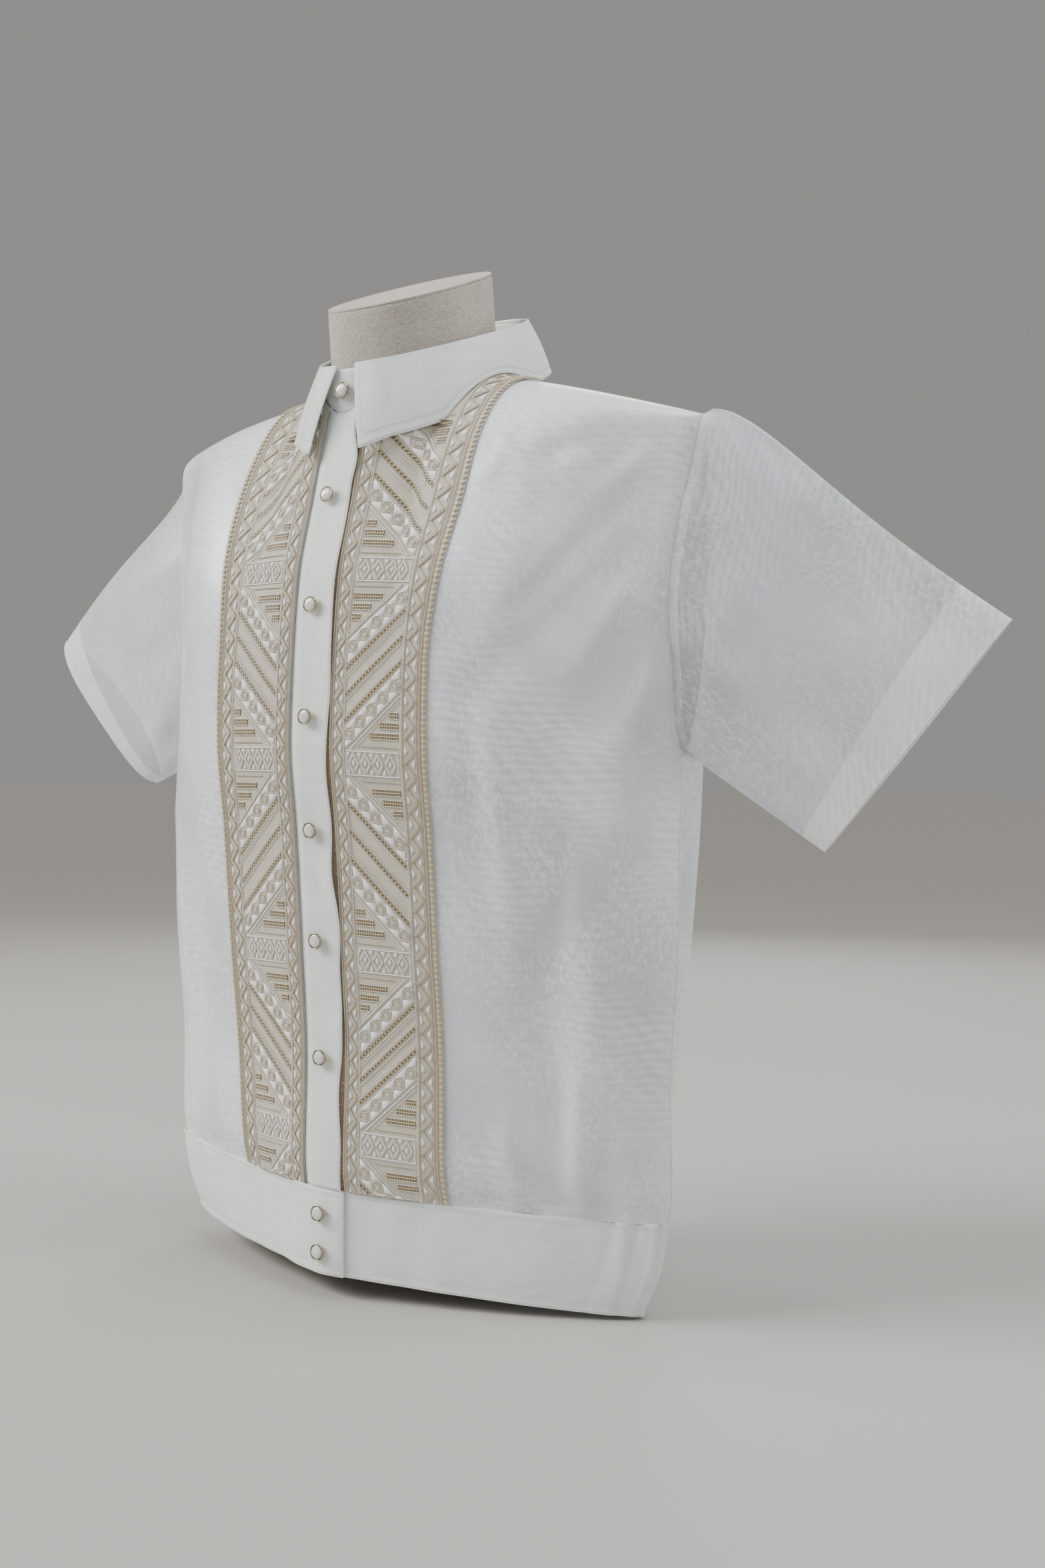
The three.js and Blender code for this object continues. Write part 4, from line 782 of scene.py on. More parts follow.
stitches = Bag()
seams = Bag()
for side in ("left", "right"):
    g, turn, is_back = sleeve_grid(side)
    n = grid_normals(g, True)
    k = len(g) // 4
    if (n[k, 20, 1] > 0):
        n = -n
    flip = grid_normals(g, True)[k, 20, 1] > 0
    closed = np.concatenate([g, g[:1]])
    uv = lengths(closed)
    uv[..., 0] += 0.9 if side == "left" else 1.6
    f = grid_faces(len(closed), g.shape[1])
    if flip:
        f = f[:, ::-1]
    ob = make(f"sleeve_{side}_organza", row(closed.reshape(-1, 3)), f, M_SLEEVE, uv.reshape(-1, 2))
    far = np.linalg.norm(g[:, -1] - g[:, 0], axis=1).mean()
    j0 = int(np.searchsorted(np.linspace(0, 1, g.shape[1]), 1 - SLEEVE_HEM / far))
    ob.data.materials.append(M_HEM)
    for q_ in ob.data.polygons:
        if min(q_.vertices[:][k_] % g.shape[1] for k_ in range(4)) >= j0:
            q_.material_index = 1
    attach(ob, "root")
    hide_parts(f"sleeve_{side}")
    # the hem: a second layer turned up inside, with its stitch line
    inner = closed[:, j0:] - np.concatenate([n, n[:1]])[:, j0:] * 0.45
    hem = make(f"sleeve_{side}_hem", row(inner.reshape(-1, 3)), grid_faces(*inner.shape[:2]), M_HEM, lengths(inner).reshape(-1, 2))
    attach(hem, "root")
    line = closed[:, j0]
    stitch_line(stitches, line, np.concatenate([n, n[:1]])[:, j0], pitch=2.8)
    edge_bag = Bag()
    edge_bag.tube(closed[:-1, -1], n[:, -1], 0.45, sides=6, closed=True)
    edge_bag.make(f"sleeve_{side}_fold", M_HEM, "organza")
    # armhole seam: a narrow allowance pressed towards the sleeve, and the ridge of the seam
    arm = np.concatenate([n, n[:1]])
    d = unit(closed[:, 1] - closed[:, 0])
    strip_ = np.stack([closed[:, 0] - arm[:, 0] * 0.8 + d * (w_ * 8.0) for w_ in (0, 0.5, 1.0)], 1)
    allowance = make(f"armhole_{side}_allowance", row(strip_.reshape(-1, 3)), grid_faces(*strip_.shape[:2]), M_SEAM, lengths(strip_).reshape(-1, 2))
    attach(allowance, "root")
    seams.tube(closed[:-1, 0] + arm[:-1, 0] * 0.1, arm[:-1, 0], 0.75, sides=6, closed=True, flat=0.8)
    SL = (g, n) if side == "left" else SL


# shoulder seams, side seams: a fine raised line each
for sign in (1, -1):
    a = sign * (PANEL_TO + np.linspace(-22, 100, 50))
    a = np.where(np.abs(a) < 76, sign * 76, a)
    p, nn = surf_n(False, a, np.full_like(a, Z_ARM + ARCH_LEN * 0.972))
    seams.tube(p + nn * 0.1, nn, 0.5, sides=5, flat=0.7)
    stitch_line(stitches, p + nn * 0.1, nn, pitch=3.2)
    t = np.linspace(Z_SEAM + 1, Z_ARM - 1, 70)
    p, nn = surf_n(False, np.full_like(t, sign * (PANEL_TO + 98.5)), t)
    seams.tube(p, nn, 0.5, sides=5, flat=0.7)
seams.make("seam_ridges", M_BODY, "organza")


# ------------------------------------------------------------------ plackets
def strip_out(x):
    return PLACKET["out"] * sm((x - PLACKET["lo"]) / 8) - 0.9 * (1 - sm((x - PLACKET["lo"]) / 8))


def placket_piece():
    xs = np.concatenate([np.linspace(PLACKET["lo"], -12, 7), np.linspace(-10, PLACKET["hi"], 20)])
    top = seam_top(False, np.where(np.abs(xs) < 0.3, 0.3, xs)) + 0.6
    ts = np.linspace(Z_SEAM + 0.3, Z_ARM, 110 // STEP)
    up = np.linspace(0, 1, 80 // STEP)[1:]
    T = np.concatenate([np.broadcast_to(ts, (len(xs), len(ts))), Z_ARM + (top[:, None] - Z_ARM) * up[None]], 1)
    A = xs[:, None] + 0 * T
    # columns inside 18 mm are true distances from the middle
    p, n = surf_n(False, np.where(np.abs(A) < 0.3, 0.3, A), T)
    # the free edge stands off unevenly between the buttons and is pulled in at each one
    pull = np.zeros_like(T)
    for z, on in BUTTONS:
        if on == "placket":
            pull += np.exp(-((T - z) / 16) ** 2)
    free = sm((A - 2) / 15)
    wave_ = 1.5 * np.sin(T * 0.048 + 0.6) + 0.9 * np.sin(T * 0.11 + 2.0)
    h = strip_out(A) + 0.5 + free * (1.0 - 0.8 * np.clip(pull, 0, 1) + 0.5 * wave_ * (1 - np.clip(pull, 0, 1)))
    dimple = np.exp(-(A / 9) ** 2) * np.clip(pull, 0, 1) * -0.35
    p = p + n * (h + dimple)[..., None]
    p[..., 0] += free * (1.5 * np.sin(T * 0.031 + 1.0) + 0.9 * np.sin(T * 0.083) + 4.4 * np.exp(-((T - 497) / 8) ** 2) - 1.6 * np.exp(-((T - 511) / 5) ** 2))
    p = p + n * (free * (1.3 * np.exp(-((T - 497) / 9) ** 2)))[..., None]
    return p, n, A, T


p, n, A, T = placket_piece()
v, f = wall(p, p - n * 0.55)
uvs = np.concatenate([np.stack([A, T], -1).reshape(-1, 2)] * 2) / 1000.0
ob = make("placket_top", row(v), f, M_IVORY, uvs)
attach(ob, "root")
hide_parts("placket")
ks = [2, len(p) - 2]
for k in ks:
    q = p[k, 1:-1]
    stitch_line(stitches, q, n[k, 1:-1], pitch=2.5, long=1.7, r=0.16)
edge = Bag()
for k in (0, len(p) - 1):
    edge.tube(p[k] - n[k] * 0.28, n[k], 0.36, sides=6)
edge.make("placket_edges", M_IVORY, "ivory")

xs = np.linspace(-8, 17.9, 12)
ts = np.concatenate([np.linspace(Z_SEAM + 0.3, Z_ARM, 70), np.linspace(Z_ARM, float(Z_ARM + ARCH_LEN * top_row(False, np.array(6.0))) - 0.5, 60)[1:]])
A2, T2 = np.meshgrid(xs, ts, indexing="ij")
p2, n2 = surf_n(False, np.where(np.abs(A2) < 0.3, 0.3, A2), T2)
p2 = p2 - n2 * 0.3
v, f = wall(p2, p2 - n2 * 0.5)
# the under placket is coloured dark brown: painted shade showing in the gap along the top placket's free edge
ob = make("placket_below", row(v), f, M_UNDER_SHADE, np.concatenate([np.stack([A2, T2], -1).reshape(-1, 2)] * 2) / 1000.0)
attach(ob, "root")
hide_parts("placket_under")


# ------------------------------------------------------------------ embroidered panels
# Laid out by rule: p runs 0 to 77.4 mm from the placket out, t is the height along the cloth.
BANDS = [93.0, 223.5, 362.0, 497.0]       # middle of each band of lozenges
BAND_H = 16.5
COL0, COL1 = 13.0, 57.5                   # the centre column
T_LOW = Z_SEAM + 0.6


class Panel:
    def __init__(self, sign):
        self.sign, self.lap = sign, 1.5
        self.ps = np.linspace(0, PANEL_TO - PANEL_FROM, 46)
        self.ts = np.linspace(T_LOW, Z_ARM + ARCH_LEN * 0.99, 300)
        self.P, self.N = surf_n(False, sign * (PANEL_FROM + self.ps)[:, None] + 0 * self.ts, self.ts + 0 * self.ps[:, None])
        tops = seam_top(False, sign * (PANEL_FROM + self.ps)) - 0.6
        # heights are read as lengths along the cloth, so that the pattern keeps its true size over the chest
        arc = self.ts[0] + np.concatenate([np.zeros((len(self.ps), 1)), np.cumsum(np.linalg.norm(np.diff(self.P, axis=1), axis=2), 1)], 1)
        self.tops = np.array([np.interp(tops[i], self.ts, arc[i]) for i in range(len(self.ps))])
        ss = np.linspace(self.ts[0], arc.max(), 360)
        for name_ in ("P", "N"):
            q = getattr(self, name_)
            setattr(self, name_, np.stack([np.stack([np.interp(ss, arc[i], q[i, :, k]) for k in range(3)], -1) for i in range(len(self.ps))]))
        self.ts = ss

    def tmax(self, pp):
        return np.interp(pp, self.ps, self.tops)

    def at(self, pp, t, h):
        """Points and normals at place pp across and t along, lifted by h; read between the columns of a fine grid."""
        pp, t = np.broadcast_arrays(np.asarray(pp, float), np.asarray(t, float))
        t = np.minimum(t, self.tmax(pp))
        u = np.clip((pp - self.ps[0]) / (self.ps[1] - self.ps[0]), 0, len(self.ps) - 1.001)
        w = np.clip((t - self.ts[0]) / (self.ts[1] - self.ts[0]), 0, len(self.ts) - 1.001)
        i, j = u.astype(int), w.astype(int)
        fu, fw = (u - i)[..., None], (w - j)[..., None]
        mix = lambda q: (q[i, j] * (1 - fu) + q[i + 1, j] * fu) * (1 - fw) + (q[i, j + 1] * (1 - fu) + q[i + 1, j + 1] * fu) * fw
        P_, N_ = mix(self.P), unit(mix(self.N))
        return P_ + N_ * (np.asarray(h, float) + self.lap + 0 * pp)[..., None], N_

    def path(self, pts, step=2.2):
        """Points along a broken line in the panel's own coordinates."""
        pts = np.asarray(pts, float)
        out = [pts[:1]]
        for a, b in zip(pts[:-1], pts[1:]):
            k = max(1, int(np.ceil(np.linalg.norm(b - a) / step)))
            out.append(a + (b - a) * (np.arange(1, k + 1) / k)[:, None])
        q = np.concatenate(out)
        keep = q[:, 1] < self.tmax(q[:, 0]) - 0.2
        return q[keep]

    def cord(self, bag, pts, r, h=0.35, step=2.2, flat=0.75, sides=5, jitter=0.0):
        q = self.path(pts, step)
        if len(q) < 2:
            return
        if jitter:
            q = q + RNG.normal(0, jitter, q.shape)
        P, N = self.at(q[:, 0], q[:, 1], h)
        bag.tube(P, N, r, sides=sides, flat=flat)

    def patch(self, bag, poly, h=0.55, crown=0.25):
        """A satin-stitched shape: a low raised face with sloping sides."""
        poly = np.asarray(poly, float)
        if (poly[:, 1] > self.tmax(poly[:, 0]) - 1.0).any():
            return
        c = poly.mean(0)
        k = len(poly)
        ring_, _ = self.at(poly[:, 0], poly[:, 1], 0.0)
        sh = c + (poly - c) * 0.86
        rim, _ = self.at(sh[:, 0], sh[:, 1], h)
        mid, _ = self.at(c[None, 0], c[None, 1], h + crown)
        v = np.concatenate([ring_, rim, mid])
        f = [(i, (i + 1) % k, k + (i + 1) % k, k + i) for i in range(k)] + [(k + i, k + (i + 1) % k, 2 * k) for i in range(k)]
        if self.sign < 0:
            f = [q[::-1] for q in f]
        bag.add(v, f)

    def ringed(self, bag, c, r, rad, h=0.5, n=10, wob=0.0):
        a = np.arange(n) / n * 2 * np.pi
        rr = r * (1 + wob * np.cos(a * 5))
        q = np.stack([c[0] + rr * np.cos(a), c[1] + rr * np.sin(a)], -1)
        if (q[:, 1] > self.tmax(q[:, 0]) - 1.0).any():
            return
        P, N = self.at(q[:, 0], q[:, 1], h)
        bag.tube(P, N, rad, sides=4, flat=0.8, closed=True)


def clip_line(a, b, lo, hi):
    """The part of the line a-b with p between lo and hi."""
    a, b = np.asarray(a, float), np.asarray(b, float)
    if a[0] > b[0]:
        a, b = b, a
    if b[0] <= lo or a[0] >= hi:
        return None
    d = (b - a) / (b[0] - a[0])
    return np.array([a + d * (max(lo, a[0]) - a[0]), a + d * (min(hi, b[0]) - a[0])])


def build_panel(side, sign):
    P = Panel(sign)
    # the net that carries it
    ps = np.linspace(0, PANEL_TO - PANEL_FROM, 30 // STEP)
    tops = P.tmax(ps)
    lows = np.linspace(T_LOW, Z_ARM, 110 // STEP)
    ups = np.linspace(0, 1, 90 // STEP)[1:]
    t = np.concatenate([np.broadcast_to(lows, (len(ps), len(lows))), Z_ARM + (tops[:, None] - Z_ARM) * ups[None]], 1)
    g, nn = P.at(ps[:, None] + 0 * t, t, np.full_like(t, -0.35))
    f = grid_faces(*t.shape)
    if sign < 0:
        f = f[:, ::-1]
    ground = make(f"panel_{side}_net", row(g.reshape(-1, 3)), f, M_GROUND, np.stack([ps[:, None] + 0 * t, t], -1).reshape(-1, 2) / 1000.0)
    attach(ground, "root")
    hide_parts(f"panel_{side}")
    cords, gold, white, pale, net, field, hole_shade = (Bag() for _ in range(7))
    top_t = float(tops.max())
    full = lambda x_: [(x_, T_LOW), (x_, top_t + 5)]
    # long lines: double cords at both sides, single cords beside the centre column
    for x_, r in ((1.0, 0.5), (3.0, 0.5), (11.6, 0.4), (12.6, 0.3), (58.2, 0.3), (59.3, 0.4), (70.0, 0.5), (72.2, 0.55)):
        P.cord(cords if r > 0.35 else pale, full(x_), r, step=3.0)
    # picot edge: a row of satin lozenges
    k = 0
    tt = T_LOW + 2
    while tt < top_t:
        P.patch(gold, [(75.4 - 1.9, tt), (75.4, tt - 1.95), (75.4 + 2.1, tt), (75.4, tt + 1.95)], 0.9, 0.35)
        tt += 4.05
        k += 1
    # zigzag strips: crossing double zigzags that leave hourglasses with small chevrons
    for x0, x1, ph in ((4.0, 10.8, 0.0), (60.6, 69.0, 0.5)):
        per = 17.0
        m = int((top_t - T_LOW) / per) + 2
        for s_ in range(m):
            t0 = T_LOW + (s_ - 0.5 + ph) * per
            mid = (x0 + x1) / 2
            for dx in (0.0, 1.25):
                P.cord(cords, [(x0 + dx, t0), (x1 - 0.2, t0 + per / 2 - dx), (x0 + dx, t0 + per)], 0.46, step=3.0, sides=4)
                P.cord(cords if dx else gold, [(x1 - dx, t0 + per / 2), (x0 + 0.2, t0 + per + dx), (x1 - dx, t0 + 1.5 * per)], 0.44, step=3.0, sides=4)
            P.patch(white, [(x0 + 0.4, t0 + per / 2 - 3.4), (x0 + 3.0, t0 + per / 2), (x0 + 0.4, t0 + per / 2 + 3.4)], 0.5)
            P.patch(white, [(x1 - 0.4, t0 - 3.4), (x1 - 3.0, t0), (x1 - 0.4, t0 + 3.4)][::-1], 0.5)
    # bands of lozenges
    wide = COL1 - COL0 - 3.0
    for zb in BANDS:
        a0, a1 = COL0 + 1.5, COL1 - 1.5
        b0, b1 = zb - BAND_H / 2, zb + BAND_H / 2
        P.cord(white, [(a0, b0), (a1, b0)], 0.42)
        P.cord(white, [(a0, b1), (a1, b1)], 0.42)
        P.cord(white, [(a0, b0), (a0, b1)], 0.36)
        P.cord(white, [(a1, b0), (a1, b1)], 0.36)
        nz = 4
        st = (a1 - a0 - 2) / nz
        for k in range(nz):
            x0 = a0 + 1 + k * st
            for inset, r, bag in ((0.9, 0.42, pale), (2.6, 0.3, white)):
                P.cord(bag, [(x0 + inset * 0.6, zb), (x0 + st / 2, b1 - inset), (x0 + st - inset * 0.6, zb), (x0 + st / 2, b0 + inset), (x0 + inset * 0.6, zb)], r, step=2.5, sides=4)
            P.patch(pale, [(x0 + st / 2 - 1.5, zb), (x0 + st / 2, zb - 3.0), (x0 + st / 2 + 1.5, zb), (x0 + st / 2, zb + 3.0)], 0.55)
            for yy in (b0 + 0.9, b1 - 0.9):
                s2 = 1 if yy < zb else -1
                P.patch(white, [(x0 - 1.7 + 0.2, yy), (x0, yy + s2 * 4.0), (x0 + 1.7, yy)] if k else [(x0, yy), (x0, yy + s2 * 4.0), (x0 + 2.2, yy)], 0.4)
    # between the bands: diagonals that turn over at each band
    edges = [T_LOW - 90] + BANDS + [BANDS[-1] + 134.0]
    for j in range(len(edges) - 1):
        lo = edges[j] + (BAND_H / 2 + 1.5 if j else 0)
        hi = edges[j + 1] - (BAND_H / 2 + 1.5)
        rise = -1 if j % 2 == 0 else 1      # 1: the diagonals go up towards the far side of the placket
        H, W = hi - lo, COL1 - COL0
        slope = 0.96

        def line(off, x0=COL0, x1=COL1):
            """Diagonal at height off (at the middle of the column), kept between the two bands."""
            a = [COL0, lo + off - rise * slope * W / 2]
            b = [COL1, lo + off + rise * slope * W / 2]
            q = np.linspace(0, 1, 25)[:, None] * (np.array(b) - a) + a
            q = q[(q[:, 1] > lo) & (q[:, 1] < hi) & (q[:, 0] >= x0) & (q[:, 0] <= x1)]
            return q
        # distances of each course from the lower band, at the middle of the column
        c0, c1 = 0.5 * slope * W - 2.0, H - 0.5 * slope * W + 2.0
        span = c1 - c0
        for off, r, bag in ((c0 - 3.0, 0.5, pale), (c0 + 2.0, 0.3, pale), (c0 + 14.5, 0.4, white), (c0 + 17.0, 0.3, pale), (c0 + 23.5, 0.4, pale), (c0 + 26.0, 0.28, pale), (c0 - 6.0, 0.28, pale),
                            (c0 + span / 2 - 3.4, 0.3, pale), (c0 + span / 2 + 3.4, 0.3, pale),
                            (c1 + 6.0, 0.28, pale), (c1 - 26.0, 0.28, pale), (c1 - 23.5, 0.4, pale), (c1 - 17.0, 0.3, pale), (c1 - 14.5, 0.4, white), (c1 - 2.0, 0.3, pale), (c1 + 3.0, 0.5, pale)):
            q = line(off)
            if len(q) > 2:
                P.cord(bag, q[[0, -1]], r, step=3.0)
        # sawtooth lines: rows of small lozenges
        for off in (c0 + 20.3, c0 + span / 2, c1 - 20.3) if span > 52 else (c0 + span * 0.38, c0 + span * 0.62):
            q = line(off)
            if len(q) < 3:
                continue
            n_ = max(2, int(np.linalg.norm(q[-1] - q[0]) / 3.1))
            d = (q[-1] - q[0]) / n_
            e = d / np.linalg.norm(d)
            f_ = np.array([-e[1], e[0]])
            for k in range(n_):
                c = q[0] + d * (k + 0.5)
                # dark lozenge under each pair of cords: painted shade standing for an opening
                P.patch(hole_shade, [c - e * 1.65, c - f_ * 1.5, c + e * 1.65, c + f_ * 1.5], 0.12, 0.1)
                P.cord(gold, [c - e * 1.7, c - f_ * 1.6, c + e * 1.7], 0.3, h=0.4, step=2.0, sides=4)
                P.cord(gold, [c - e * 1.7, c + f_ * 1.6, c + e * 1.7], 0.3, h=0.4, step=2.0, sides=4)
        # rosette bands: a rosette in a square, white satin triangles to either side
        for off in (c0 + 8.2, c1 - 8.2):
            q = line(off)
            if len(q) < 3:
                continue
            d0 = q[-1] - q[0]
            L = np.linalg.norm(d0)
            e = d0 / L
            f_ = np.array([-e[1], e[0]])
            n_ = max(1, int(round(L / 12.6)))
            for k in range(n_):
                c = q[0] + d0 * ((k + 0.5) / n_)
                if not lo + 3 < c[1] < hi - 3 or not COL0 + 2 < c[0] < COL1 - 2:
                    continue
                P.patch(field, [c + np.array(w_) for w_ in ((-4.3, -4.3), (4.3, -4.3), (4.3, 4.3), (-4.3, 4.3))], 0.25, 0.1)
                P.ringed(cords, c, 4.1, 0.5, wob=0.08, n=14)
                P.ringed(cords, c, 2.4, 0.5, h=0.7, wob=0.14, n=12)
                P.ringed(white, c, 0.9, 0.42, h=0.8, n=6)
                for w_ in ((-4.3, -4.3), (4.3, -4.3), (4.3, 4.3), (-4.3, 4.3)):
                    P.cord(pale, [c + np.array(w_) * 0.72, c + np.array(w_)], 0.36, sides=4)
            for k in range(n_ + 1):
                c = q[0] + d0 * (k / n_)
                for sg in (1, -1):
                    b_ = c + f_ * sg * 5.6
                    tri = [b_ - e * 6.0, b_ + e * 6.0, c + f_ * sg * 0.5]
                    tri = [np.array([np.clip(w_[0], COL0 + 0.8, COL1 - 0.8), np.clip(w_[1], lo + 0.5, hi - 0.5)]) for w_ in tri]
                    if abs(np.cross(tri[1] - tri[0], tri[2] - tri[0])) > 6:
                        P.patch(white, tri, 0.7, 0.5)
        # drawn-thread bars in the two corner triangles
        for end, sg in ((lo, 1), (hi, -1)):
            for k in range(5):
                y0 = end + sg * (2.2 + 7.3 * k)
                # the corner lies on the side the diagonal leaves free
                bound = (c0 - 5.0) if sg > 0 else (c1 + 5.0)
                xs_ = COL0 + W / 2 + (y0 + (2.2 if sg > 0 else -2.2) - lo - bound) / (rise * slope)
                if (sg > 0) == (rise > 0):
                    x0, x1 = max(COL0 + 1.0, xs_ + 1.5), COL1 - 1.2
                else:
                    x0, x1 = COL0 + 1.2, min(COL1 - 1.0, xs_ - 1.5)
                if x1 - x0 < 4:
                    continue
                hgt = 0.8 if k == 0 else 4.4
                if k == 0:
                    P.cord(cords, [(x0, y0), (x1, y0)], 0.4)
                    continue
                if y0 + 3 > P.tmax(np.array([x0]))[0] or y0 - 3 < T_LOW:
                    continue
                # dark patch behind the bars: painted shade standing for the drawn-thread openings
                P.patch(net, [(x0, y0 - hgt / 2), (x1, y0 - hgt / 2), (x1, y0 + hgt / 2), (x0, y0 + hgt / 2)], 0.06, 0.02)
                for yy in (-hgt / 2, 0.0, hgt / 2):
                    P.cord(pale if yy else gold, [(x0, y0 + yy), (x1, y0 + yy)], 0.36 if yy else 0.42, h=0.3, sides=4, step=3.0)
                nb = int((x1 - x0) / 1.75)
                for b_ in range(nb):
                    xx = x0 + (b_ + 0.5) * (x1 - x0) / nb
                    P.cord(gold, [(xx - 0.5, y0 - hgt / 2), (xx + 0.45, y0)], 0.3, h=0.35, sides=4, step=5)
                    P.cord(gold, [(xx + 0.45, y0 + 0.2), (xx - 0.4, y0 + hgt / 2)], 0.3, h=0.35, sides=4, step=5)
    for bag, nm, mt in ((cords, "cords", M_CORD), (gold, "lozenges", M_GOLD), (white, "satin", M_WHITE), (pale, "lines", M_PALE), (net, "openwork_painted_shade", M_HOLE_SHADE), (field, "fields", M_FIELD), (hole_shade, "pinhole_painted_shade", M_HOLE_SHADE)):
        ob_ = bag.make(f"panel_{side}_{nm}", mt, "lace", smooth=nm not in ("lozenges",))
        if ob_:
            print("TRI", ob_.name, sum(len(q.vertices) - 2 for q in ob_.data.polygons))


build_panel("left", 1)
build_panel("right", -1)


# ------------------------------------------------------------------ waistband
BAND_OVER, BAND_UNDER, BAND_OUT = 18.5, -16.0, 2.0
BAND_TUCKS = [  # angle column on the front (mm, or edge + 100 * share), width, depth, top or all of it
    (176, 3.2, 1.3, 0.6), (167, 2.6, -1.2, 0.7), (158, 3.4, 1.1, 0.8), (150, 2.4, -0.8, 0.6), (184, 3.0, -1.1, 0.7),
    (-168, 4.0, 1.5, 0.9), (-178, 3.4, -1.3, 0.8), (-158, 4.4, -1.2, 0.8), (-146, 5.0, 1.0, 1.0), (120, 9.0, 0.7, 1.0), (-118, 8.0, -0.7, 1.0)]


def band_piece():
    wide = 100 * np.linspace(0, 1, 60 // STEP)
    a_f1 = np.concatenate([np.arange(BAND_OVER, -PANEL_TO, -1.7 * STEP), -PANEL_TO - wide])
    a_b = np.concatenate([-RING["x"] - wide[::-1], np.linspace(-RING["x"], RING["x"], 44 // STEP)[1:-1], RING["x"] + wide])
    a_f2 = np.concatenate([PANEL_TO + wide[::-1], np.arange(PANEL_TO - 1.7, BAND_UNDER + 1.0, -1.7 * STEP), [BAND_UNDER]])
    z = np.linspace(Z_HEM, Z_SEAM - 0.1, 34 // STEP)
    parts, outs, cols_ = [], [], []
    for back, a, first in ((False, a_f1, True), (True, a_b, False), (False, a_f2, False)):
        use = a if back is False and first else a[1:]
        g = surf(back, use[:, None] + 0 * z, 0 * use[:, None] + z)
        parts.append(g)
        h = (BAND_OUT * (1 - sm((-use - 22) / 30)) if first else 0 * use) + 0.3
        outs.append(h)
        cols_.append(np.where(back, 1000.0, use))
    g, h, ca = np.concatenate(parts), np.concatenate(outs), np.concatenate(cols_)
    n = grid_normals(g)
    if n[3, 5, 1] > 0:
        n = -n
    zz = np.broadcast_to(z, g.shape[:2])
    up = (zz - Z_HEM) / (Z_SEAM - Z_HEM)
    lift = np.zeros(g.shape[:2])
    for c, wd, dp, share in BAND_TUCKS:
        off = (ca[:, None] - c - 3.0 * np.sin(up * 2.2 + c)) / wd
        lift += 1.6 * dp * np.exp(-off ** 2) * (1 - (1 - up) * share) * (np.abs(ca[:, None]) < 500)
    s = np.arange(len(g))[:, None] / len(g) * 700.0
    lift += 0.45 * np.sin(s * 0.055 + 1.0) + 0.25 * np.sin(s * 0.17 + up * 2.0)
    # the edge draws in along its stitching
    lift -= 0.45 * np.exp(-((zz - Z_HEM - 4.5) / 1.6) ** 2) + 0.4 * np.exp(-((zz - Z_SEAM + 4.0) / 1.5) ** 2)
    return g + n * (h[:, None] + lift)[..., None], n, zz


g, n, zz = band_piece()
v, f = wall(g, g - n * 1.0)
uvs = np.concatenate([lengths(g).reshape(-1, 2)] * 2)
band = make("waistband_strip", row(v), f, M_BAND, uvs)
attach(band, "root")
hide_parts("waistband")
print("CUT band", round(area_of(g), 4), float(lengths(g)[-1, 5, 0]))
zrow = lambda z_: int(np.argmin(np.abs(zz[0] - z_)))
for z_ in (Z_HEM + 4.5, Z_SEAM - 4.0):
    j = zrow(z_)
    stitch_line(stitches, g[:, j] + n[:, j] * 0.05, n[:, j], pitch=2.7, long=1.9, r=0.17)
stitch_line(stitches, g[2, 2:-2] + n[2, 2:-2] * 0.05, n[2, 2:-2], pitch=2.7, long=1.9, r=0.17)
edge = Bag()
edge.tube(g[:, 0] - n[:, 0] * 0.5, n[:, 0], 0.62, sides=6)
edge.tube(g[0] - n[0] * 0.5, n[0], 0.6, sides=6)
edge.tube(g[:, -1] - n[:, -1] * 0.5, n[:, -1], 0.55, sides=6)
edge.make("waistband_edges", M_BAND, "ivory")


# ------------------------------------------------------------------ collar
FOOT = dict(x=RING["x"] - NECK_SEAM - COLLAR_SHIFT, front=RING["front"] - NECK_SEAM, back=RING["back"] - NECK_SEAM)


def surface_z(x, y):
    x, y = np.broadcast_arrays(np.asarray(x, float), np.asarray(y, float))
    out = np.zeros(x.shape)
    for back in (False, True):
        q = body.share_at(back, x, y)
        z = Z_ARM + (body.ridge_z(x) - Z_ARM) * q
        p_ = body.at(back, x / body.half(z), z, q, creased=False)[..., 2]
        out = np.where((y > body.ridge_y(x)) == back, p_, out)
    return out


def ring(r, a):
    e = 2 / r.get("full", 2)
    s, k = np.sin(a), np.cos(a)
    s, k = np.sign(s) * np.abs(s) ** e, np.sign(k) * np.abs(k) ** e
    y = np.where(k > 0, NECK["y"] - (r["front"] + NECK["y"]) * k, NECK["y"] - (r["back"] - NECK["y"]) * k)
    return -r["x"] * s + COLLAR_SHIFT, y


def fold_at(a):
    x, y = ring(FOLD, a)
    return np.stack([x, y, FOLD["z0"] + FOLD["slope"] * (y + FOLD["front"] + 2)], -1)


def neck_at(a):
    x, y = ring(FOOT, a)
    return np.stack([x, y, surface_z(x, y) + 1], -1)


def stand_lift(a):
    return 1.9 * (1 - sm((a - 0.25) / 0.4))


def leaf_edge(a):
    x, y = ring(LEAF, a)
    z = LEAF["z0"] + LEAF["slope"] * (y + LEAF["front"])
    return np.stack([x, y, np.maximum(z, surface_z(x, y) + LEAF["rest"])], -1)


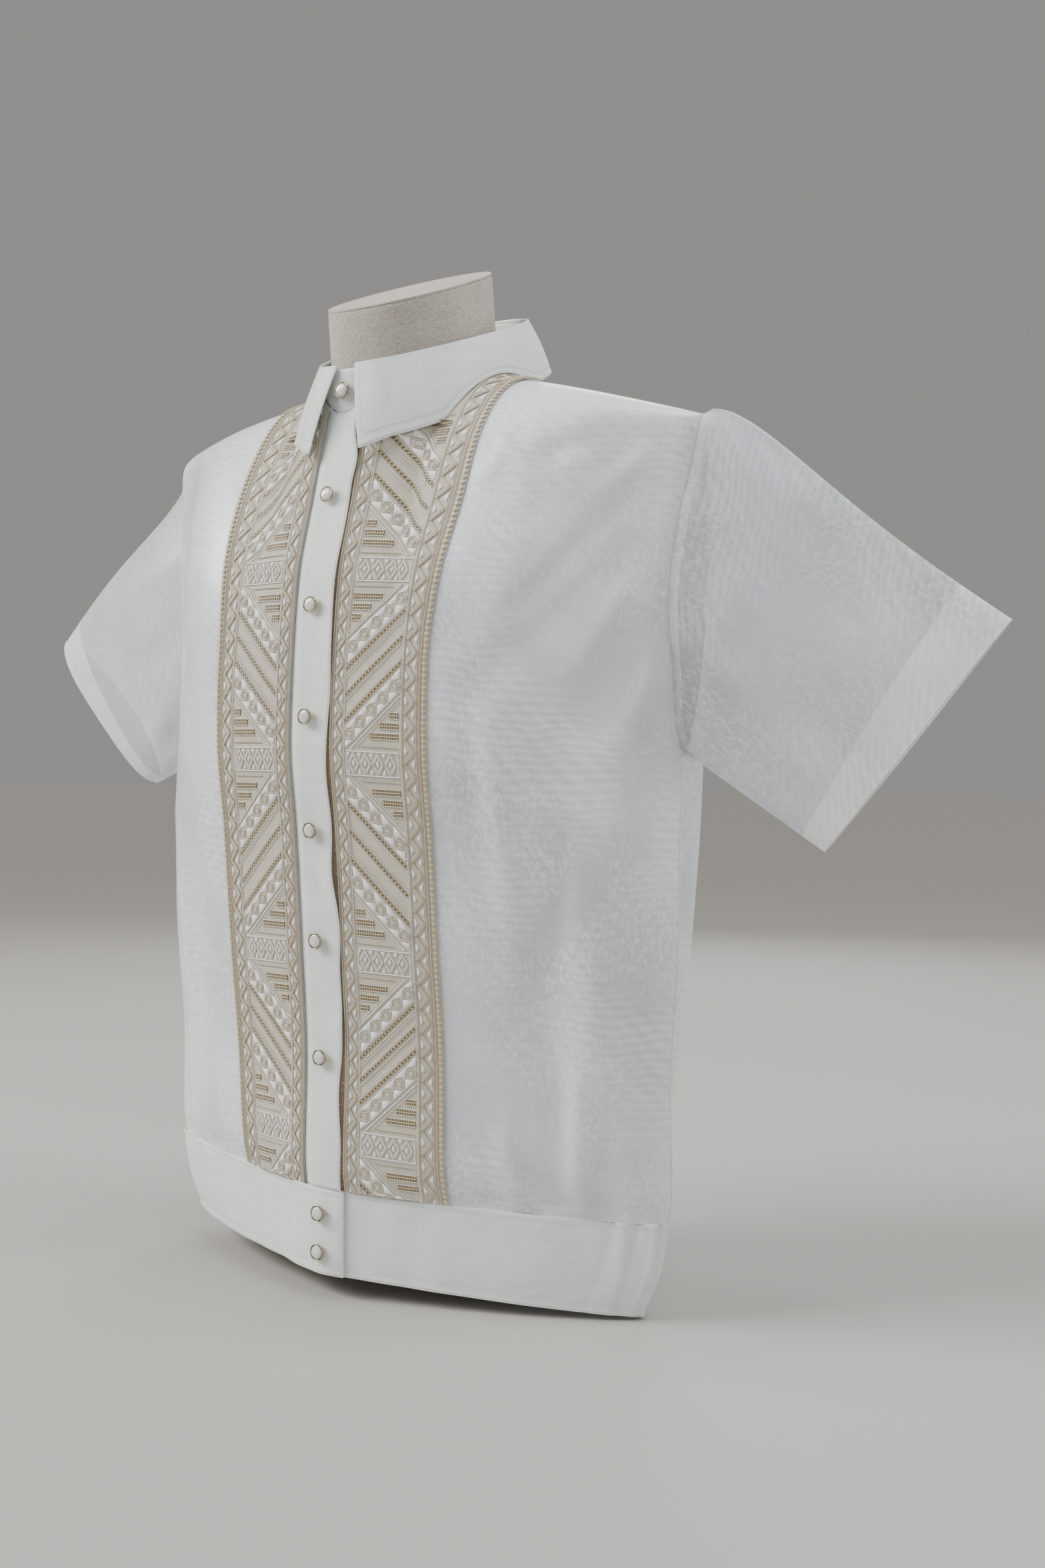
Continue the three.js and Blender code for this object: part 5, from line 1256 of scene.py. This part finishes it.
a0, a1 = -math.asin(16 / FOLD["x"]), 2 * np.pi + math.asin(13 / FOLD["x"])
turns = np.linspace(a0, a1, 150 // STEP)
rise_ = np.linspace(0, 1, 14)
lo_, hi_ = neck_at(turns), fold_at(turns)
g = lo_[:, None] + (hi_ - lo_)[:, None] * rise_[None, :, None]
n = grid_normals(g)
if n[len(n) // 2, 5, 1] < 0:
    n = -n
lift = stand_lift(turns)[:, None] + 0.15 * np.sin(turns * 9)[:, None] - 0.35 * np.exp(-((rise_ - 0.12) / 0.05) ** 2)[None]
g = g + n * lift[..., None]
v, f = wall(g, g - n * 1.0)
stand = make("collar_band", row(v), f, M_COLLAR, np.concatenate([lengths(g).reshape(-1, 2)] * 2))
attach(stand, "root")
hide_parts("collar_stand")
print("CUT stand", round(area_of(g), 4), float(lengths(g)[-1, 5, 0]))
j = 1
stitch_line(stitches, g[:, j] + n[:, j] * 0.05, n[:, j], pitch=2.6, long=1.8, r=0.17)
edge = Bag()
edge.tube(g[0] - n[0] * 0.5, n[0], 0.6, sides=6)
edge.make("collar_band_end", M_COLLAR, "ivory")

a0, a1 = 0.10, 2 * np.pi - 0.14
turns = np.concatenate([np.linspace(a0, 0.5, 26 // STEP), np.linspace(0.5, 2 * np.pi - 0.54, 130 // STEP)[1:-1], np.linspace(2 * np.pi - 0.54, a1, 26 // STEP)])
fo, ed = fold_at(turns), leaf_edge(turns)
near_end = np.clip(1 - np.minimum(turns - a0, a1 - turns) / 0.35, 0, 1)
tip = ed + np.stack([np.where(turns < np.pi, -10, 10) * near_end, -2 * near_end, -4 * near_end], -1)
tip[:, 2] = np.maximum(tip[:, 2], surface_z(tip[:, 0], tip[:, 1]) + LEAF["rest"])
o = unit(np.stack([fo[:, 0] - COLLAR_SHIFT, fo[:, 1] - NECK["y"], 0 * turns], -1))
out = 2.3 + stand_lift(turns) + 2 * sm((turns - 2 * np.pi + 0.55) / 0.25)
upz = np.array([0, 0, 1.0])
cols_ = [fo + o * (out - 2)[:, None] + upz * 0.4]
for an in np.linspace(np.pi, 0, 8):
    cols_.append(fo + o * (out - 1 + np.cos(an))[:, None] + upz * (1.9 + np.sin(an)))
head = fo + o * out[:, None] + upz * 1.9
tt = np.linspace(0, 1, 30 // STEP)[1:]
for t_ in tt:
    q_ = head + (tip - head) * t_
    soft = 1.5 * math.sin(math.pi * t_) + 0.35 * np.sin(turns * 7 + t_ * 3) * t_ + 0.3 * math.exp(-((t_ - 0.9) / 0.03) ** 2) * -1
    cols_.append(q_ + o * np.reshape(soft, (-1, 1)))
g = np.stack(cols_, 1)
n = grid_normals(g)
k = len(g) // 2
if n[k, -5, 1] < 0:
    n = -n
v, f = wall(g, g - n * 1.1)
leaf = make("collar_fall", row(v), f, M_COLLAR, np.concatenate([lengths(g).reshape(-1, 2)] * 2))
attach(leaf, "root")
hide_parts("collar_leaf")
print("CUT leaf", round(area_of(g), 4), float(lengths(g)[-1, -1, 0]))
j = len(g[0]) - 1 - max(2, int(round(4.5 / (np.linalg.norm(g[k, -1] - g[k, 9]) / len(tt)))))
inset = 3 // STEP
stitch_line(stitches, g[inset:-inset, j] + n[inset:-inset, j] * 0.05, n[inset:-inset, j], pitch=2.6, long=1.8, r=0.17)
for k_ in (inset, -inset - 1):
    stitch_line(stitches, g[k_, 10:j] + n[k_, 10:j] * 0.05, n[k_, 10:j], pitch=2.6, long=1.8, r=0.17)
edge = Bag()
rim = np.concatenate([g[0, 8:] - n[0, 8:] * 0.5, g[1:-1, -1] - n[1:-1, -1] * 0.5, (g[-1, 8:] - n[-1, 8:] * 0.5)[::-1]])
rim_n = np.concatenate([n[0, 8:], n[1:-1, -1], n[-1, 8:][::-1]])
edge.tube(rim, rim_n, 0.62, sides=6)
edge.make("collar_fall_edge", M_COLLAR, "ivory")


# ------------------------------------------------------------------ buttons
def lathe(bag_v, bag_f, prof, origin, nrm, sides, wob=0.0, count=0):
    """A turned shape about nrm; prof is (radius, height) from the axis to the axis."""
    nrm = unit(np.asarray(nrm, float))
    u = unit(np.cross([0, 0, 1.0], nrm))
    w = np.cross(nrm, u)
    a = np.arange(sides) / sides * 2 * np.pi
    base = sum(len(q) for q in bag_v)
    vs, ids = [], []
    for r, h in prof:
        if r < 1e-6:
            ids.append([len(vs)] * sides)
            vs.append(origin + nrm * h)
        else:
            ids.append(list(range(len(vs), len(vs) + sides)))
            rr = r * (1 + (wob * np.cos(a * count) if count and r > 5.2 else 0 * a))
            vs.extend(origin + nrm * h + (np.cos(a)[:, None] * u + np.sin(a)[:, None] * w) * rr[:, None])
    for i in range(len(prof) - 1):
        for s in range(sides):
            s2 = (s + 1) % sides
            q = [ids[i][s], ids[i][s2], ids[i + 1][s2], ids[i + 1][s]]
            q = list(dict.fromkeys(q))
            if len(q) > 2:
                bag_f.append([base + t_ for t_ in q])
    bag_v.append(np.array(vs))


holes, slits = Bag(), Bag()
for k, (z, on) in enumerate(BUTTONS):
    if on == "stand":
        p = (neck_at(np.array(0.0)) + fold_at(np.array(0.0))) / 2
        nb = unit(np.array([0, -1, 0.12]))
        p = p + nb * 2.4
        p[0] = 0
    else:
        lift = BAND_OUT + 0.3 if on == "band" else PLACKET["out"] + 1.2
        q = None if z <= Z_ARM else (z - Z_ARM) / (float(body.ridge_z(0)) - Z_ARM)
        s0 = body.at(False, 0.0, z, q, creased=False)
        s1 = body.at(False, 0.0, z + 6, None if q is None else q + 6 / (float(body.ridge_z(0)) - Z_ARM), creased=False)
        nb = unit(np.cross([1.0, 0, 0], unit(s1 - s0)))
        nb = nb if nb[1] < 0 else -nb
        p = s0 + nb * (lift + 0.4)
    R, H = 6.0, 4.4
    vs, fs = [], []
    cup = [(0, 0), (1.7, 0.0), (2.1, 0.1), (2.2, 0.7), (3.6, 0.95), (5.1, 1.35), (5.7, 1.8), (5.97, 2.3), (6.0, 2.75), (5.95, 3.15), (5.8, 3.5), (5.6, 3.66),
           (5.4, 3.62), (5.25, 3.4), (5.12, 3.05), (5.05, 2.6), (0, 2.5)]
    lathe(vs, fs, cup, p, nb, 60)
    ob = make(f"button_{k + 1}_cup", row(np.concatenate(vs)), fs, M_METAL)
    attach(ob, "root")
    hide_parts(f"button_{k + 1}")
    vs, fs = [], []
    dome = [(0, 2.75), (4.7, 2.8), (4.8, 3.0)] + [(4.8 * math.cos(t_), 3.0 + (H + 0.1 - 3.0) * math.sin(t_)) for t_ in np.linspace(0.12, math.pi / 2 - 0.01, 9)] + [(0, H + 0.1)]
    lathe(vs, fs, dome, p, nb, 48)
    ob = make(f"pearl_{k + 1}_dome", row(np.concatenate(vs)), fs, M_PEARL)
    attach(ob, "root")
    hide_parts(f"pearl_{k + 1}")
    # worked buttonhole: two close satin-stitched lips
    if on == "band":
        xs = np.linspace(4.5, 15.5, 12)
        pb, nb2 = surf_n(False, xs, np.full_like(xs, z))
        for dz in (-0.55, 0.55):
            holes.tube(pb + nb2 * (BAND_OUT + 0.55) + np.array([0, 0, dz]), nb2, 0.42, sides=6, flat=0.8)
        # the slit: a dark line of painted shade inside the cut
        slits.tube(pb[:-1] + nb2[:-1] * (BAND_OUT + 0.62), nb2[:-1], 0.18, sides=4, flat=0.6)
holes.make("buttonholes", M_STITCH, "ivory")
slits.make("buttonhole_slits", M_UNDER_SHADE, "ivory")
stitches.make("stitching", M_STITCH, "ivory")

# ------------------------------------------------------------------ dress form
form = Body(FORM, 8.0, False, dict(x=44.0, z=lerp(SHOULDER["z"], NECK["z"], (SHOULDER["x"] - 44) / (SHOULDER["x"] - NECK["x"])), rise=50.0))
around = 96
ang = np.arange(around) / around * 2 * np.pi
levels = np.concatenate([np.linspace(-20, 25, 8), np.linspace(25, Z_ARM, 40)[1:]])
rows_ = []
for z in levels:
    s = np.sin(ang)
    xi = np.sign(s) * np.abs(s) ** (2 / form.full(z))
    pf, pb = form.at(False, xi, np.full_like(xi, z)), form.at(True, xi, np.full_like(xi, z))
    p = np.where((np.cos(ang) < 0)[:, None], pb, pf)
    p[:, 2] = z
    if z < -16:                                  # the base's lower edge is rounded
        k_ = 1 - 1.6 * (1 - math.sqrt(max(0, 1 - ((-16 - z) / 4) ** 2))) / 100
        p[:, :2] *= k_
    rows_.append(p)
for w_ in np.linspace(0, 1, 44)[1:]:
    q = float(share_of_row(w_))
    s = np.sin(ang)
    zg = Z_ARM + (SHOULDER["z"] - Z_ARM) * q
    xi = np.sign(s) * np.abs(s) ** (2 / form.full(zg))
    qq = np.full_like(xi, min(q, 0.99999))
    pf, pb = form.at(False, xi, xi * 0 + zg, qq), form.at(True, xi, xi * 0 + zg, qq)
    rows_.append(np.where((np.cos(ang) < 0)[:, None], pb, pf))
G = np.stack(rows_, 1)
v = np.concatenate([G.reshape(-1, 3), [[0, 0, -20.0]]])
f = grid_faces(around, G.shape[1], True).tolist()
c_ = len(v) - 1
m_ = G.shape[1]
f += [[c_, i * m_, ((i + 1) % around) * m_] for i in range(around)]
vs, fs = [v], list(f)
base_n = len(v)
ts = np.concatenate([np.linspace(0, 0.93, 22), [0.955, 0.972, 0.984, 0.992, 0.997, 1.0]])
nk = []
for t_ in ts:
    bul = np.interp(t_, [0, 0.3, 0.55, 0.78, 0.93, 1], [3, 1, 0.4, 0.2, 0, 0]) - 2.6 * (1 - math.sqrt(max(0.0, 1 - max(0.0, (t_ - 0.955) / 0.045) ** 2)))
    rr = NECK_FORM["r"] + bul
    x, y0 = rr * np.sin(ang), rr * np.cos(ang)
    tz = lerp(NECK_FORM["topFront"], NECK_FORM["topBack"], (y0 + NECK_FORM["r"]) / (2 * NECK_FORM["r"]))
    z = lerp(NECK_FORM["zLow"], tz, t_)
    nk.append(np.stack([x, NECK_FORM["yLow"] + NECK_FORM["lean"] * (z - NECK_FORM["zLow"]) + y0, z], -1))
NK = np.stack(nk, 1)
vs.append(NK.reshape(-1, 3))
fs += grid_faces(around, NK.shape[1], True, base_n).tolist()
top_c = base_n + len(vs[1])
vs.append(NK[:, -1].mean(0)[None])
mm = NK.shape[1]
fs += [[base_n + i * mm + mm - 1, base_n + ((i + 1) % around) * mm + mm - 1, top_c] for i in range(around)]
dress = make("dress_form_linen", row(np.concatenate(vs)), fs, M_LINEN)
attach(dress, "root")
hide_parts("dress_form")
pip = Bag()
edge_ring = NK[:, -3]
pip.tube(edge_ring, unit(edge_ring - NK[:, -1].mean(0)), 1.1, sides=8, closed=True)
pip.make("dress_form_piping", M_LINEN, "linen")

# ------------------------------------------------------------------ stage, lights, camera
scene = bpy.context.scene
floor_me = bpy.data.meshes.new("floor")
R_ = 40.0
floor_me.from_pydata([(-R_, -R_, 0), (R_, -R_, 0), (R_, R_, 0), (-R_, R_, 0)], [], [(0, 1, 2, 3)])
floor = bpy.data.objects.new("floor", floor_me)
scene.collection.objects.link(floor)
fm, ft, fb = material("floor_paint", (0.43, 0.415, 0.39), rough=0.85, spec=0.2)
floor_me.materials.append(fm)
floor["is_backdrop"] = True

world = bpy.data.worlds.new("studio")
scene.world = world
world.use_nodes = True
bg = world.node_tree.nodes["Background"]
bg.inputs["Color"].default_value = (0.30, 0.29, 0.275, 1)
bg.inputs["Strength"].default_value = 1.0


def area_light(name, at, to, size, power, color=(1, 1, 1)):
    li = bpy.data.lights.new(name, "AREA")
    li.shape = "RECTANGLE"
    li.size, li.size_y = size
    li.energy = power
    li.color = color
    ob_ = bpy.data.objects.new(name, li)
    scene.collection.objects.link(ob_)
    ob_.location = at
    ob_.rotation_euler = (Vector(to) - Vector(at)).to_track_quat("-Z", "Y").to_euler()
    return ob_


area_light("key", (-2.3, -1.3, 1.75), (0, 0, 0.42), (0.8, 0.9), 62, (1.0, 0.99, 0.97))
area_light("fill", (2.2, -1.6, 1.2), (0, 0, 0.4), (1.2, 1.6), 20, (0.95, 0.975, 1.0))
area_light("top", (0.6, 0.1, 2.3), (0.05, 0, 0.4), (0.8, 0.8), 24)
area_light("back_left", (-1.2, 2.4, 1.6), (0, 0, 0.45), (1.0, 1.4), 26)
area_light("back_right", (1.9, 1.9, 1.5), (0, 0, 0.45), (1.0, 1.4), 24)
soft = bpy.data.lights.new("soft_sun", "SUN")
soft.energy, soft.angle, soft.color = 2.15, 0.5, (1.0, 0.99, 0.97)
soft_ob = bpy.data.objects.new("soft_sun", soft)
scene.collection.objects.link(soft_ob)
soft_ob.rotation_euler = Vector((1.4, 1.6, -1.6)).to_track_quat("-Z", "Y").to_euler()

yaw, pitch, roll = math.radians(36.12), math.radians(0.23), math.radians(0.69)
d = Vector((-math.sin(yaw) * math.cos(pitch), math.cos(yaw) * math.cos(pitch), -math.sin(pitch)))
r = Vector((math.cos(yaw), math.sin(yaw), 0))
u = r.cross(d)
r2 = r * math.cos(roll) + u * math.sin(roll)
u2 = -r * math.sin(roll) + u * math.cos(roll)
cam_data = bpy.data.cameras.new("camera")
cam_data.lens = 44.783
cam_data.sensor_width = 36.0
cam_data.clip_start, cam_data.clip_end = 0.05, 100.0
cam = bpy.data.objects.new("camera", cam_data)
scene.collection.objects.link(cam)
cam.matrix_world = Matrix(((r2.x, u2.x, -d.x, 0.93003), (r2.y, u2.y, -d.y, -1.15082), (r2.z, u2.z, -d.z, 0.3717), (0, 0, 0, 1)))
scene.camera = cam

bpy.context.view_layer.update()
for ob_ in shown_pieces():
    tri = sum(len(q.vertices) - 2 for q in ob_.data.polygons) if ob_.type == "MESH" else 0
    if tri > 40000:
        print("TRI", ob_.name, tri)
